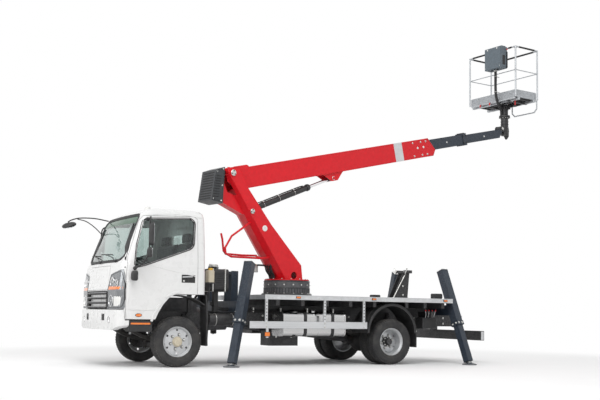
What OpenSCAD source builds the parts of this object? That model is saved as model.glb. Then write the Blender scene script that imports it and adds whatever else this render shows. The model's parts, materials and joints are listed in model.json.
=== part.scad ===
// Telescopic aerial work platform on a light two-axle truck.
// Vehicle frame: +X forward, +Y to the driver's side, +Z up, ground at z = 0.
// Every length is in millimetres. Modules are written from the rear axle, and
// placed() moves them so that the origin is under the middle of the whole machine.

/* [Chassis] */
// Distance between the axles
wheelbase = 3815; // [3700:5:3900]
// Outside radius of every tyre
tyre_r = 383.5; // [370:0.5:390]
// Width of one tyre
tyre_w = 208; // [195:1:215]
// Radius of the rim's outer flange
rim_r = 236; // [225:1:245]
// Middle of a front tyre, from the centre line
front_wheel_y = 844; // [835:1:850]
// Middle of an outer rear tyre, from the centre line
rear_wheel_y = 918; // [910:1:925]
// Distance between two twin tyres
twin_gap = 252; // [245:1:260]

/* [Cab] */
// Half width of the cab at the door handle
cab_half_w = 980; // [960:1:990]
// Thickness of cab walls and doors
wall = 42; // [36:1:48]

/* [Deck] */
// Height of the deck's top face
deck_z = 1126; // [1110:1:1140]
// Half width of the deck
deck_half_w = 1100; // [1080:1:1110]

/* [Boom] */
// Angle of the boom to the truck's centre line, seen from above
boom_yaw = 10; // [4:1:16]
// Elevation of the boom as it stands
boom_tilt = 13.36; // [13:0.02:14]
// Height of the boom's hinge pin
boom_pin_z = 3104; // [3095:1:3110]
// Outside width of the outer boom
boom_w = 250; // [244:1:256]

/* [Basket] */
// Length of the basket, across the boom
basket_l = 1354; // [1300:1:1400]
// Width of the basket, along the boom
basket_w = 677; // [650:1:700]
// Height of the basket from under its floor to its top rail
basket_h = 1064; // [1050:1:1100]

/* [Hidden] */
$fn = 48;

// Where the origin lies, measured from the ground under the rear axle
origin_x = 263;
origin_y = -147;

// Chassis rails
rail_y = 430;
rail_z = 640;
rail_h = 200;
rail_flange = 65;
rail_rear_x = -1920;
rail_front_x = 4420;
BEARER_X = [-1080, -700, -320, 330, 800, 1250, 1700, 2150];
hub_z = tyre_r;
kingpin_y = 745;
stub_r = 40;
run_gap = 0.05;
// holes for a towing jaw: across, up, radius
tow_y = 160;
tow_z = 100;
tow_hole_r = 8.5;

// Cab levels: [z, front face x, half width, front corner radius, rear inset]
LEVELS = [
    [700, 4772, cab_half_w - 14, 150, 0],
    [860, 4812, cab_half_w - 2, 150, 0],
    [1144, 4816, cab_half_w, 150, 0],
    [1510, 4768, cab_half_w - 4, 145, 0],
    [1600, 4722, cab_half_w - 9, 135, 0],
    [1900, 4614, cab_half_w - 33, 120, 2],
    [2200, 4502, cab_half_w - 62, 110, 6],
    [2290, 4456, cab_half_w - 78, 105, 12],
    [2345, 4404, cab_half_w - 108, 110, 24],
    [2380, 4330, cab_half_w - 160, 120, 54],
    [2402, 4236, cab_half_w - 240, 140, 105],
    [2416, 4090, cab_half_w - 420, 150, 220]
];
roof_from = 7;       // the first level that belongs to the roof
crown = 46;          // how far the nose bulges at the centre line
cab_rear_x = 3397;
rear_corner_r = 60;
floor_z = 900;
seat_floor_z = 1136;
STEERING_WHEEL = [4140, 430, 1548];

// Outlines seen from the side, as [x, z]
DOOR = [[4655, 640], [4655, 1390], [4626, 1640], [4448, 2196], [4392, 2262], [3590, 2292],
    [3535, 2250], [3535, 640]];
DOOR_WINDOW = [[4534, 1485], [4502, 1808], [4392, 2214], [3640, 2256], [3580, 2200],
    [3602, 1851], [3652, 1795], [4398, 1519]];
ARCH = [[3200, 500], [3200, 1100], [3880, 1100], [3990, 1040], [4080, 940], [4150, 820],
    [4196, 714], [4216, 500]];
// Outlines seen from the front, as [y, z]
WINDSCREEN = [[-850, 1664], [-700, 1590], [700, 1590], [850, 1664], [792, 2282], [-792, 2282]];
REAR_WINDOW = [[-430, 1720], [430, 1720], [430, 2080], [-430, 2080]];
HATCH = [[-512, 1152], [512, 1152], [494, 1508], [-494, 1508]];
GRILLE = [[-512, 862], [512, 862], [512, 1132], [-512, 1132]];
LAMP = [[520, 864], [960, 864], [990, 980], [990, 1240], [930, 1450], [560, 1380], [520, 1150]];
// rear edge of the bumper, which the cab's front panel follows
BUMPER_END = [[4606, 697], [4668, 697], [4690, 862]];
CAB_END = [[4600, 691], [4662, 691], [4684, 866]];
seam = 6;
lamp_x = 4670;                         // the headlamps start in front of the door seam

// Boom plane: s runs along the boom away from the slewing axis
slew_x = 1490;
boom_pin_s = -1297;
boom_h = 344;
boom_drop = 113;                       // boom centre line below the hinge pin
mid_drop = 75;
mid_h = 210;
mid_w = 170;
inner_h = 176;
inner_w = 136;
tip_x = 7063;                          // tip pin along the boom from the hinge pin
tip_up = 18;
barrel_pin = [-900, 2505];
rod_eye_x = 2210;                      // rod's eye along the boom
rod_eye_up = -375;                     // and below the hinge pin's line
column_half = 190;
cheek = 14;
column_z = 1408;
nose_half = 86;
nose_out = 45;
edge_s = -181;                         // foot of the column's front edge
edge_lean = 35.35;                     // and its lean from the vertical
edge_from = 14;                        // start of its plates, clear of the slewing cover
boom_end_r = 152;                      // room that the boom's square end turns in
// Room that its heel and underside need down to the lowest pose, from the hinge pin, as [s, z]
HEEL_SWEEP = [[-132, 0], [-132, -94], [-122, -102], [-26, -305], [60, -331], [302, -404], [302, 0]];
pin_room = 0.15;
// Outlines in the boom plane, as [s, z]
CHEEK = [[edge_s, column_z], [182, column_z], [150, 1655], [-490, 2300], [-985, 2880], [-1150, 3190],
    [-1400, 3190], [-1400, 3127]];
NOSE = [[-940, 2460], [-1012, 2455], [-1479, 2645], [-1459, 3050], [-1380, 3056]];
COVER = [[-1455, 3186], [-1624, 3124], [-1701, 2623], [-1484, 2590]];
plate = 8;

// Basket
basket_yaw = 5.9;
basket_z = 5335;
basket_x = -4190;
basket_y = -1080;
rail_tube = 17;
mid_rail_r = 10;
step_drop = 240;
step_y = 40;
hose_r = 26;
rotator_s = 5735;

// Outrigger legs: [name, top, foot]
FRONT_LEG = [[2540, 720, 1628], [2987, 1075, 0]];
REAR_LEG = [[-1262, 720, 1628], [-1362, 1368, 0]];
leg_outer = 140;
leg_inner = 116;
collar_z = 670;
pad_r = 125;

barrel_r = 50;
barrel_end = 1450;
rod_r = 29;
barrel_tilt = atan2(eye_z() - barrel_pin[1], eye_s() - barrel_pin[0]);
rod_len = norm([eye_s() - barrel_pin[0], eye_z() - barrel_pin[1]]);
function eye_s() = boom_pin_s + rod_eye_x * cos(boom_tilt) - rod_eye_up * sin(boom_tilt);
function eye_z() = boom_pin_z + rod_eye_x * sin(boom_tilt) + rod_eye_up * cos(boom_tilt);
function tip_s() = boom_pin_s + tip_x * cos(boom_tilt) - tip_up * sin(boom_tilt);
function tip_z() = boom_pin_z + tip_x * sin(boom_tilt) + tip_up * cos(boom_tilt);

function arc(c, r, a0, a1, n) =
    [for (i = [0:n]) let (a = a0 + (a1 - a0) * i / n) [c[0] + r * cos(a), c[1] + r * sin(a)]];
function rounded(w, h, r) = concat(
    arc([w - r, h - r], r, 0, 90, 5), arc([r, h - r], r, 90, 180, 5),
    arc([r, r], r, 180, 270, 5), arc([w - r, r], r, 270, 360, 5));

module placed() translate([-origin_x, -origin_y, 0]) children();
module both_sides() {
    children();
    mirror([0, 1, 0]) children();
}

// A round bar from point a to point b
module bar(a, b, r) {
    d = b - a;
    translate(a) rotate([0, acos(d[2] / norm(d)), atan2(d[1], d[0])]) cylinder(h = norm(d), r = r);
}

// A bent tube through points, with a slightly fuller ball at every bend
module bent_tube(points, r) {
    for (i = [0:len(points) - 2]) bar(points[i], points[i + 1], r);
    for (i = [1:len(points) - 2]) translate(points[i]) sphere(r = r + 0.8, $fn = 24);
}

// A box from its lowest corner to its highest
module block(a, b) translate(a) cube(b - a);

// An outline in the x-z plane, extruded from y0 to y1
module side_plate(points, y0, y1)
    translate([0, y1, 0]) rotate([90, 0, 0]) linear_extrude(y1 - y0) polygon(points);

// An outline in the y-z plane, extruded from x0 to x1
module front_plate(points, x0, x1)
    translate([x0, 0, 0]) rotate([90, 0, 90]) linear_extrude(x1 - x0) polygon(points);

// ---------------------------------------------------------------- chassis

module c_rail()
    translate([rail_rear_x, rail_y, rail_z]) rotate([90, 0, 90])
        linear_extrude(rail_front_x - rail_rear_x)
            polygon([[0, 0], [0, rail_h], [-rail_flange, rail_h], [-rail_flange, rail_h - 8],
                [-8, rail_h - 8], [-8, 8], [-rail_flange, 8], [-rail_flange, 0]]);

module chassis_frame() color([0.05, 0.05, 0.055]) placed() {
    both_sides() c_rail();
    for (x = [4380, 2560, 2150, 950, -780, -1860])
        translate([x, -rail_y + 4, rail_z + rail_h / 2]) rotate([-90, 0, 0])
            cylinder(h = 2 * rail_y - 8, r = 42);
    // rear cross plate, drilled for a towing jaw
    difference() {
        block([rail_rear_x - 12, -rail_y + 8, rail_z + 10],
            [rail_rear_x + 2, rail_y - 8, rail_z + rail_h - 10]);
        for (y = [-tow_y / 2, tow_y / 2], z = [-tow_z / 2, tow_z / 2])
            translate([rail_rear_x - 20, y, rail_z + rail_h / 2 + z]) rotate([0, 90, 0])
                cylinder(h = 30, r = tow_hole_r);
    }
    // tank brackets and their foot plates
    for (x = [1080, 1790]) {
        block([x, rail_y - 4, 455], [x + 50, 930, 473]);
        block([x, rail_y, 455], [x + 50, rail_y + 10, 760]);
    }
    // cab mounts
    both_sides() {
        block([4250, rail_y - 6, 700], [4370, 560, 730]);
        block([4280, 500, 730], [4340, 560, floor_z - 30]);
        block([3420, rail_y - 6, 780], [3520, 520, 810]);
        block([3440, 460, 810], [3500, 520, seat_floor_z - 30]);
    }
}

// Subframe rails and the cross bearers that carry the deck
module deck_bearers() color([0.05, 0.05, 0.055]) placed() {
    both_sides() block([-1180, 340, rail_z + rail_h], [2420, 420, 960]);
    for (x = BEARER_X) block([x, -deck_half_w + 70, 960], [x + 60, deck_half_w - 70, deck_z - 10]);
}

// Gearbox and the shaft down to the rear axle
module propshaft() color([0.16, 0.16, 0.17]) placed() {
    hull() {
        translate([3240, 0, 740]) rotate([0, -90, 0]) cylinder(h = 10, r = 210, $fn = 32);
        translate([2640, 0, 640]) rotate([0, -90, 0]) cylinder(h = 10, r = 90, $fn = 32);
    }
    bar([2640, 0, 640], [308, 0, hub_z + 12], 44);
    for (x = [1586, 1626]) translate([x, 0, 520]) rotate([0, 90, 0]) cylinder(h = 16, r = 58);
    block([1596, -420, 566], [1632, 420, 590]);
    both_sides() block([1596, 380, 589], [1632, 420, rail_z - 0.5]);
}

module front_axle() color([0.06, 0.06, 0.065]) placed() translate([wheelbase, 0, 0]) {
    difference() {
        union() {
            block([-40, -690, 255], [40, 690, 335]);
            both_sides() {
                block([-36, 640, hub_z - 40], [36, kingpin_y, hub_z + 34]);
                block([-38, 590, 260], [38, 690, hub_z + 34]);
                translate([0, kingpin_y, hub_z - 42]) cylinder(h = 84, r = 46);
                block([-60, 355, 335], [60, 445, 360]);
            }
        }
        both_sides() translate([0, kingpin_y, hub_z - 90]) cylinder(h = 180, r = 22 + run_gap);
    }
}

module rear_axle() color([0.06, 0.06, 0.065]) placed() translate([0, 0, hub_z]) {
    rotate([90, 0, 0]) cylinder(h = 1120, r = 70, center = true);
    sphere(r = 195);
    rotate([90, 0, 0]) cylinder(h = 2 * (rear_wheel_y + 26), r = stub_r, center = true);
    rotate([0, 90, 0]) cylinder(h = 300, r = 75);
    both_sides() block([-60, 355, 55], [60, 445, 78]);
}

// A leaf spring under one rail: axle seat at seat_z, eyes under the rail
module leaf_spring(seat_z) {
    half = 640;
    rise = rail_z - 75 - seat_z;
    r = (half * half + rise * rise) / (2 * rise);
    translate([0, 365, 0]) rotate([-90, 0, 0]) intersection() {
        difference() {
            translate([0, -seat_z - r, 0]) cylinder(h = 70, r = r, $fn = 96);
            translate([0, -seat_z - r, -1]) cylinder(h = 72, r = r - 44, $fn = 96);
        }
        translate([-half, -seat_z - rise, 0]) cube([2 * half, rise, 70]);
    }
    for (x = [-half - 6, half + 6]) {
        translate([x, 365, seat_z + rise + 12]) rotate([-90, 0, 0]) cylinder(h = 70, r = 30);
        block([x - 40, 362, seat_z + rise + 6], [x + 40, 438, rail_z]);
    }
}

module leaf_springs() color([0.08, 0.08, 0.085]) placed() {
    both_sides() translate([wheelbase, 0, 0]) leaf_spring(360);
    both_sides() leaf_spring(hub_z + 78);
}

module engine() color([0.32, 0.33, 0.34]) placed()
    block([3250, -270, 520], [4040, 270, 1060]);

module battery_box() color([0.05, 0.05, 0.055]) placed() {
    block([1475, 60, 300], [2000, 400, 560]);
    for (x = [1520, 1900]) block([x, 366, 560], [x + 50, 400, rail_z]);
}

module oil_tank() color([0.07, 0.07, 0.075]) placed() {
    translate([980, -940, 480]) rotate([90, 0, 90]) linear_extrude(900) polygon(rounded(420, 380, 40));
    for (x = [1080, 1700]) block([x, -rail_y - 94, 700], [x + 60, -rail_y, 760]);
    translate([1240, -730, 858]) cylinder(h = 34, r = 45);
}

module fuel_tank() color([0.80, 0.81, 0.82]) placed() {
    difference() {
        translate([878, 545, 473]) rotate([90, 0, 90]) linear_extrude(1158)
            polygon(rounded(405, 380, 70));
        translate([1390, 745, 835]) cylinder(h = 40, r = 36);
    }
    translate([1390, 745, 836]) cylinder(h = 44, r = 36);
    translate([1390, 745, 876]) cylinder(h = 26, r = 48);
}

module air_cleaner() color([0.06, 0.06, 0.065]) placed() {
    translate([2860, 330, 1170]) rotate([90, 0, 90]) linear_extrude(330) polygon(rounded(300, 350, 50));
    block([2990, 440, rail_z + rail_h], [3060, 520, 1176]);
    block([2960, 366, rail_z + rail_h], [3090, 520, rail_z + rail_h + 12]);
    translate([3060, 480, 1516]) cylinder(h = 60, r = 44);
    translate([3060, 480, 1562]) cylinder(h = 22, r = 62);
}

module front_bumper() color([0.93, 0.93, 0.93]) placed() difference() {
    translate([0, 0, 552]) difference() {
        linear_extrude(300) ring_shape(4836, cab_half_w + 8, 165);
        translate([0, 0, 60]) linear_extrude(300) ring_shape(4780, cab_half_w - 40, 130);
        translate([0, 0, -1]) linear_extrude(62) ring_shape(4740, cab_half_w - 90, 110);
    }
    side_plate(concat(BUMPER_END, [[3000, 900], [3000, 400], [4606, 400]]), -1200, 1200);
    front_plate([[-2000, 540], [-700, 540], [-950, 610], [-1100, 700]], 4500, 4900);
    front_plate([[2000, 540], [700, 540], [950, 610], [1100, 700]], 4500, 4900);
    both_sides() {
        front_plate([[330, 690], [470, 690], [470, 790], [330, 790]], 4700, 4900);
        translate([4700, 640, 700]) rotate([0, 90, 0]) cylinder(h = 200, r = 52);
    }
}

// ---------------------------------------------------------------- cab

// Plan outline of the cab at one height, counter-clockwise
function cab_ring(fx, hw, r, rx, rr) = let (
        steps = 5,
        flat = hw - r,
        nose = [for (i = [-steps:steps]) [fx - crown * pow(i / steps, 2), flat * i / steps]],
        left = arc([fx - crown - r, flat], r, 15, 90, 5),
        rear_left = arc([rx + rr, hw - rr], rr, 90, 180, 3),
        half = concat(left, rear_left))
    concat(nose, half, [for (i = [len(half) - 1:-1:0]) [half[i][0], -half[i][1]]]);

module ring_shape(fx, hw, r) polygon(cab_ring(fx, hw, r, 3400, 60));

// The cab's closed outer form, every face moved in by inset
module cab_body(inset) {
    rings = [for (k = [0:len(LEVELS) - 1]) let (v = LEVELS[k], roof = k >= roof_from)
        [for (p = cab_ring(v[1] - inset, v[2] - inset, max(v[3] - inset / 2, 40),
                cab_rear_x + v[4] + inset, rear_corner_r))
            [p[0], p[1], v[0] - (roof ? inset : (k == 0 && inset > 0 ? 20 : 0))]]];
    n = len(rings[0]);
    m = len(rings);
    sides = [for (k = [0:m - 2], j = [0:n - 1]) let (a = k * n + j, b = k * n + (j + 1) % n)
        each [[a, a + n, b + n], [a, b + n, b]]];
    polyhedron([for (ring = rings) each ring],
        concat(sides, [[for (j = [0:n - 1]) j]], [[for (j = [n - 1:-1:0]) (m - 1) * n + j]]));
}

module grown(points, by) offset(delta = by) polygon(points);
module side_cut(points, by) translate([0, 1400, 0]) rotate([90, 0, 0])
    linear_extrude(2800) grown(points, by);
module left_cut(points, by) translate([0, 1400, 0]) rotate([90, 0, 0])
    linear_extrude(900) grown(points, by);
module front_cut(points, by, x0) translate([x0, 0, 0]) rotate([90, 0, 90])
    linear_extrude(5000 - x0) grown(points, by);

// The wall between two depths under the cab's surface
module skin(from, to) difference() {
    cab_body(from);
    cab_body(to);
}

module lamp_cut(by) {
    front_cut(LAMP, by, lamp_x - by);
    mirror([0, 1, 0]) front_cut(LAMP, by, lamp_x - by);
}

module cab_shell() color([0.93, 0.93, 0.93]) placed() {
    difference() {
        skin(0, wall);
        side_cut(DOOR, seam);
        side_cut(ARCH, 0);
        front_cut(WINDSCREEN, 0, 4200);
        translate([3300, 0, 0]) rotate([90, 0, 90]) linear_extrude(300) polygon(REAR_WINDOW);
        front_cut(HATCH, 6, 4600);
        front_cut(GRILLE, 0, 4600);
        lamp_cut(2);
        side_plate(concat([[4600, 400]], CAB_END, [[5000, 866], [5000, 400]]), -1200, 1200);
    }
    // firewall behind the grille, hatch and lamps
    intersection() {
        difference() {
            cab_body(wall - 6);
            cab_body(wall + 14);
        }
        difference() {
            block([4560, -960, 700], [4900, 960, 1540]);
            side_cut(DOOR, seam);
        }
    }
    // floor, with its step up over the front wheels
    intersection() {
        cab_body(wall - 2);
        side_plate([[3390, seat_floor_z - 30], [3900, seat_floor_z - 30], [4080, seat_floor_z - 60],
            [4200, floor_z - 30], [4800, floor_z - 30], [4800, floor_z], [4230, floor_z],
            [4110, seat_floor_z], [3390, seat_floor_z]], -cab_half_w + 75, cab_half_w - 75);
    }
}

module hood_hatch() color([0.94, 0.94, 0.94]) placed() intersection() {
    skin(-3, 22);
    front_cut(HATCH, 0, 4600);
}

module grille() color([0.10, 0.10, 0.11]) placed() difference() {
    intersection() {
        skin(2, wall - 8);
        front_cut(GRILLE, -2, 4600);
    }
    for (z = [905, 975, 1045]) front_plate([[-450, z], [450, z], [450, z + 34], [-450, z + 34]], 4600, 5000);
}

module headlamps() color([0.85, 0.87, 0.88]) placed() intersection() {
    skin(-2, wall - 8);
    lamp_cut(-1);
}

module cab_glass() color([0.25, 0.32, 0.32, 0.5]) placed() {
    difference() {
        intersection() {
            skin(6, 12);
            front_cut(WINDSCREEN, -1, 4200);
        }
        side_cut(DOOR, seam);
    }
    intersection() {
        skin(16, 22);
        translate([3300, 0, 0]) rotate([90, 0, 90]) linear_extrude(300) grown(REAR_WINDOW, -1);
    }
}

module door() intersection() {
    difference() {
        skin(0, wall);
        left_cut(DOOR_WINDOW, 0);
        left_cut(ARCH, 0);
        block([3000, -2000, 600], [5000, 2000, 717]);
    }
    left_cut(DOOR, 0);
}

module door_glass() intersection() {
    skin(14, 19);
    left_cut(DOOR_WINDOW, -1);
}

// Two mirror heads on a bracket that stands out from the door
module mirror_set() {
    out_y = 1180;
    bent_tube([[4330, 916, 2230], [4350, out_y - 40, 2240], [4390, out_y, 2190], [4400, out_y, 1640],
        [4480, 1060, 1500], [4536, 991, 1468]], 12);
    for (h = [[4285, 1800, 340], [4300, 1632, 140]])
        translate([h[0], out_y + 24, h[1]]) linear_extrude(h[2]) polygon(rounded(150, 52, 20));
    translate([4504, 1030, 1282]) linear_extrude(150) polygon(rounded(132, 90, 20));
    bar([4560, 982, 1400], [4560, 1040, 1400], 14);
    for (z = [1712, 2000]) bar([4398, out_y, z], [4340, out_y + 40, z], 11);
}

module left_door() color([0.93, 0.93, 0.93]) placed() door();
module right_door() color([0.93, 0.93, 0.93]) placed() mirror([0, 1, 0]) door();
module left_door_glass() color([0.25, 0.3, 0.3, 0.5]) placed() door_glass();
module right_door_glass() color([0.25, 0.3, 0.3, 0.5]) placed() mirror([0, 1, 0]) door_glass();
module left_mirror() color([0.05, 0.05, 0.055]) placed() mirror_set();
module right_mirror() color([0.05, 0.05, 0.055]) placed() mirror([0, 1, 0]) mirror_set();

module front_mirror() color([0.05, 0.05, 0.055]) placed() {
    bent_tube([[4420, -800, 2300], [4620, -900, 2330], [4900, -900, 2318], [5060, -880, 2262]], 10);
    bent_tube([[4520, -850, 2080], [4700, -890, 2250], [4900, -900, 2300]], 8);
    translate([5060, -880, 2215]) rotate([0, 72, 0]) cylinder(h = 34, r1 = 118, r2 = 96);
}

module dashboard() color([0.12, 0.12, 0.13]) placed() {
    intersection() {
        side_plate([[4330, 1180], [4560, 1050], [4640, 1050], [4640, 1500], [4470, 1540],
            [4350, 1440]], -cab_half_w + 90, cab_half_w - 90);
        cab_body(wall + 16);
    }
    translate(STEERING_WHEEL) rotate([0, -28, 0]) {
        rotate_extrude() translate([215, 0]) circle(r = 15);
        cylinder(h = 24, r = 60, center = true);
        for (a = [0:120:240]) rotate([0, 0, a]) translate([0, -14, -7]) cube([212, 28, 14]);
    }
    bar(STEERING_WHEEL, [4390, 430, 1290], 28);
}

module seat(y, w) {
    block([3560, y - w / 2 + 40, seat_floor_z + 1], [4000, y + w / 2 - 40, 1260]);
    translate([3520, y - w / 2, 1260]) linear_extrude(130) polygon(rounded(520, w, 50));
    side_plate([[3470, 1340], [3610, 1340], [3560, 1960], [3460, 1990]], y - w / 2, y + w / 2);
}

module seats() color([0.16, 0.17, 0.18]) placed() {
    seat(430, 520);
    seat(-350, 900);
}

// ---------------------------------------------------------------- body behind the cab

module front_mudguard() {
    // step panel under the door
    translate([4238, 790, 535]) difference() {
        cube([360, 165, 162]);
        translate([12, -1, 12]) cube([336, 153, 151]);
    }
    // liner and flap behind the wheel
    side_plate([[3392, 1090], [3372, 780], [3368, 320], [3352, 320], [3350, 790], [3372, 1096],
        [3420, 1098], [3420, 1090]], 720, 972);
    translate([wheelbase, 0, hub_z]) difference() {
        translate([0, 972, 0]) rotate([90, 0, 0]) cylinder(h = 232, r = 700);
        translate([0, 973, 0]) rotate([90, 0, 0]) cylinder(h = 234, r = 686);
        block([-1000, 0, -1000], [1000, 1100, 560]);
        block([40, 0, 0], [1000, 1100, 1000]);
    }
}

module rear_fender() {
    translate([18, 0, 530]) difference() {
        translate([0, 1052, 0]) rotate([90, 0, 0]) cylinder(h = 490, r = 490);
        translate([0, 1040, 0]) rotate([90, 0, 0]) cylinder(h = 500, r = 478);
        translate([0, 1060, 0]) rotate([90, 0, 0]) cylinder(h = 40, r = 452);
        block([-600, 0, -600], [600, 1200, 0]);
    }
    block([-486, 600, 290], [-468, 1044, 545]);
    block([0, 700, 1014], [36, 760, deck_z - 10]);
}

module mudguards() color([0.06, 0.065, 0.07]) placed() both_sides() {
    front_mudguard();
    rear_fender();
}

module deck() color([0.72, 0.73, 0.74]) placed() {
    block([-1210, -deck_half_w, deck_z - 10], [2440, deck_half_w, deck_z]);
    both_sides() block([-1210, deck_half_w - 60, deck_z - 73], [2440, deck_half_w, deck_z - 9]);
    for (x = [-1210, 2380]) block([x, -deck_half_w, deck_z - 73], [x + 60, deck_half_w, deck_z - 9]);
}

module side_guards() color([0.80, 0.81, 0.82]) placed() both_sides() {
    block([535, 1050, 597], [2697, 1082, 707]);
    for (x = [598, 1346, 2400]) block([x - 20, 1052, 700], [x + 20, 1078, deck_z - 73]);
    block([2360, 1054, 450], [2400, 1074, 600]);
}

module boom_rest() color([0.05, 0.05, 0.055]) placed() {
    both_sides() side_plate([[-640, deck_z], [-960, deck_z], [-1000, 1600], [-860, 1600]], 62, 78);
    for (z = [1180, 1440]) block([-900, -70, z], [-860, 70, z + 60]);
    block([-1010, -150, 1596], [-850, 150, 1636]);
    both_sides() block([-1010, 100, 1636], [-850, 150, 1650]);
}

module underrun_bar() color([0.06, 0.06, 0.065]) placed() {
    block([-1994, -986, 403], [-1914, 986, 572]);
    both_sides() block([-1960, 360, 560], [-1840, 436, rail_z]);
}

// Distance and direction from the top of a leg to its foot
function leg_len(leg) = norm(leg[1] - leg[0]);
function leg_tilt(leg) = acos((leg[0][2] - leg[1][2]) / leg_len(leg));
function leg_turn(leg) = atan2(leg[1][1] - leg[0][1], leg[1][0] - leg[0][0]);
function collar_at(leg) = leg_len(leg) * (leg[0][2] - collar_z) / leg[0][2];
module along_leg(leg) translate(leg[0]) rotate([0, 180 - leg_tilt(leg), leg_turn(leg)]) children();
module square_tube(size, t, z0, z1) difference() {
    translate([-size / 2, -size / 2, z0]) cube([size, size, z1 - z0]);
    translate([-size / 2 + t, -size / 2 + t, z0 - 1]) cube([size - 2 * t, size - 2 * t, z1 - z0 + 2]);
}
function leg_point(leg, z) = let (k = (leg[0][2] - z) / leg[0][2]) leg[0] + (leg[1] - leg[0]) * k;

module leg_case(leg) {
    beam_z = 930;
    difference() {
        union() {
            along_leg(leg) {
                square_tube(leg_outer, 9, 0, collar_at(leg));
                square_tube(leg_outer + 16, 15, collar_at(leg) - 60, collar_at(leg) + 6);
                translate([-leg_outer / 2, -leg_outer / 2, -8]) cube([leg_outer, leg_outer, 9]);
            }
            block([leg_point(leg, beam_z)[0] - 70, 0, rail_z + rail_h],
                [leg_point(leg, beam_z)[0] + 70, leg_point(leg, beam_z)[1], beam_z + 90]);
        }
        along_leg(leg) translate([-leg_outer / 2 + 9, -leg_outer / 2 + 9, 0])
            cube([leg_outer - 18, leg_outer - 18, 3000]);
    }
}

module outrigger_frames() color([0.16, 0.19, 0.23]) placed() both_sides() {
    leg_case(FRONT_LEG);
    leg_case(REAR_LEG);
    // upright plates behind the cab
    for (y = [300, 560]) block([2670, y, 1010], [2790, y + 14, 1500]);
    block([2670, 300, 1440], [2790, 574, 1456]);
}

module leg(leg) {
    len = leg_len(leg);
    along_leg(leg) {
        square_tube(leg_inner, 8, 530, len - 58);
        translate([-leg_inner / 2, -leg_inner / 2, len - 66]) cube([leg_inner, leg_inner, 8]);
        translate([0, 0, len - 62]) cylinder(h = 40, r = 30);
    }
    translate([leg[1][0], leg[1][1], 0]) {
        cylinder(h = 14, r = pad_r);
        cylinder(h = 40, r1 = 70, r2 = 40);
        translate([0, 0, 44]) sphere(r = 34);
    }
}

module front_left_leg() color([0.17, 0.20, 0.25]) placed() leg(FRONT_LEG);
module front_right_leg() color([0.17, 0.20, 0.25]) placed() mirror([0, 1, 0]) leg(FRONT_LEG);
module rear_left_leg() color([0.17, 0.20, 0.25]) placed() leg(REAR_LEG);
module rear_right_leg() color([0.17, 0.20, 0.25]) placed() mirror([0, 1, 0]) leg(REAR_LEG);

// ---------------------------------------------------------------- wheels

module tyre(y) translate([0, y, hub_z]) rotate([90, 0, 0]) rotate_extrude($fn = 96) {
    h = tyre_w / 2;
    polygon([[rim_r - 6, -h + 22], [rim_r + 20, -h + 4], [rim_r + 80, -h], [tyre_r - 34, -h + 6],
        [tyre_r - 8, -h + 22], [tyre_r, -h + 42], [tyre_r, h - 42], [tyre_r - 8, h - 22],
        [tyre_r - 34, h - 6], [rim_r + 80, h], [rim_r + 20, h - 4], [rim_r - 6, h - 22]]);
}

// A dished disc wheel; face is how far its disc lies outside its middle, out is the outer side
module rim(y, face, out) translate([0, y, hub_z]) rotate([out > 0 ? -90 : 90, 0, 0])
    difference() {
        rotate_extrude($fn = 72) {
            h = tyre_w / 2 - 22;
            polygon([[rim_r - 6, -h], [rim_r - 6, -h + 14], [rim_r - 26, -h + 30], [rim_r - 30, h - 34],
                [rim_r - 6, h - 14], [rim_r - 6, h], [rim_r - 16, h], [rim_r - 40, h - 34],
                [rim_r - 38, face + 6], [150, face + 16], [150, face], [rim_r - 38, face - 12],
                [rim_r - 36, -h + 30], [rim_r - 16, -h]]);
            polygon([[stub_r + run_gap, face], [152, face], [152, face + 16], [120, face + 22],
                [stub_r + run_gap, face + 22]]);
        }
        for (a = [0:60:300]) rotate([0, 0, a + 30]) translate([176, 0, face - 40])
            cylinder(h = 90, r = 17);
    }

module front_wheel_tyre() translate([wheelbase, 0, 0]) tyre(front_wheel_y);
module front_wheel_rim() translate([wheelbase, 0, 0]) rim(front_wheel_y, 40, 1);
module rear_wheel_tyres() {
    tyre(rear_wheel_y);
    tyre(rear_wheel_y - twin_gap);
}
module rear_wheel_rims() {
    rim(rear_wheel_y, -96, 1);
    rim(rear_wheel_y - twin_gap, -96, -1);
    translate([0, rear_wheel_y - 134, hub_z]) rotate([90, 0, 0]) difference() {
        cylinder(h = 84, r = 120, center = true);
        cylinder(h = 86, r = stub_r + run_gap, center = true);
    }
}

module front_left_tyre() color([0.06, 0.06, 0.06]) placed() front_wheel_tyre();
module front_right_tyre() color([0.06, 0.06, 0.06]) placed() mirror([0, 1, 0]) front_wheel_tyre();
module front_left_rim() color([0.75, 0.76, 0.77]) placed() front_wheel_rim();
module front_right_rim() color([0.75, 0.76, 0.77]) placed() mirror([0, 1, 0]) front_wheel_rim();
module rear_left_tyres() color([0.06, 0.06, 0.06]) placed() rear_wheel_tyres();
module rear_right_tyres() color([0.06, 0.06, 0.06]) placed() mirror([0, 1, 0]) rear_wheel_tyres();
module rear_left_rims() color([0.75, 0.76, 0.77]) placed() rear_wheel_rims();
module rear_right_rims() color([0.75, 0.76, 0.77]) placed() mirror([0, 1, 0]) rear_wheel_rims();

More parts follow.
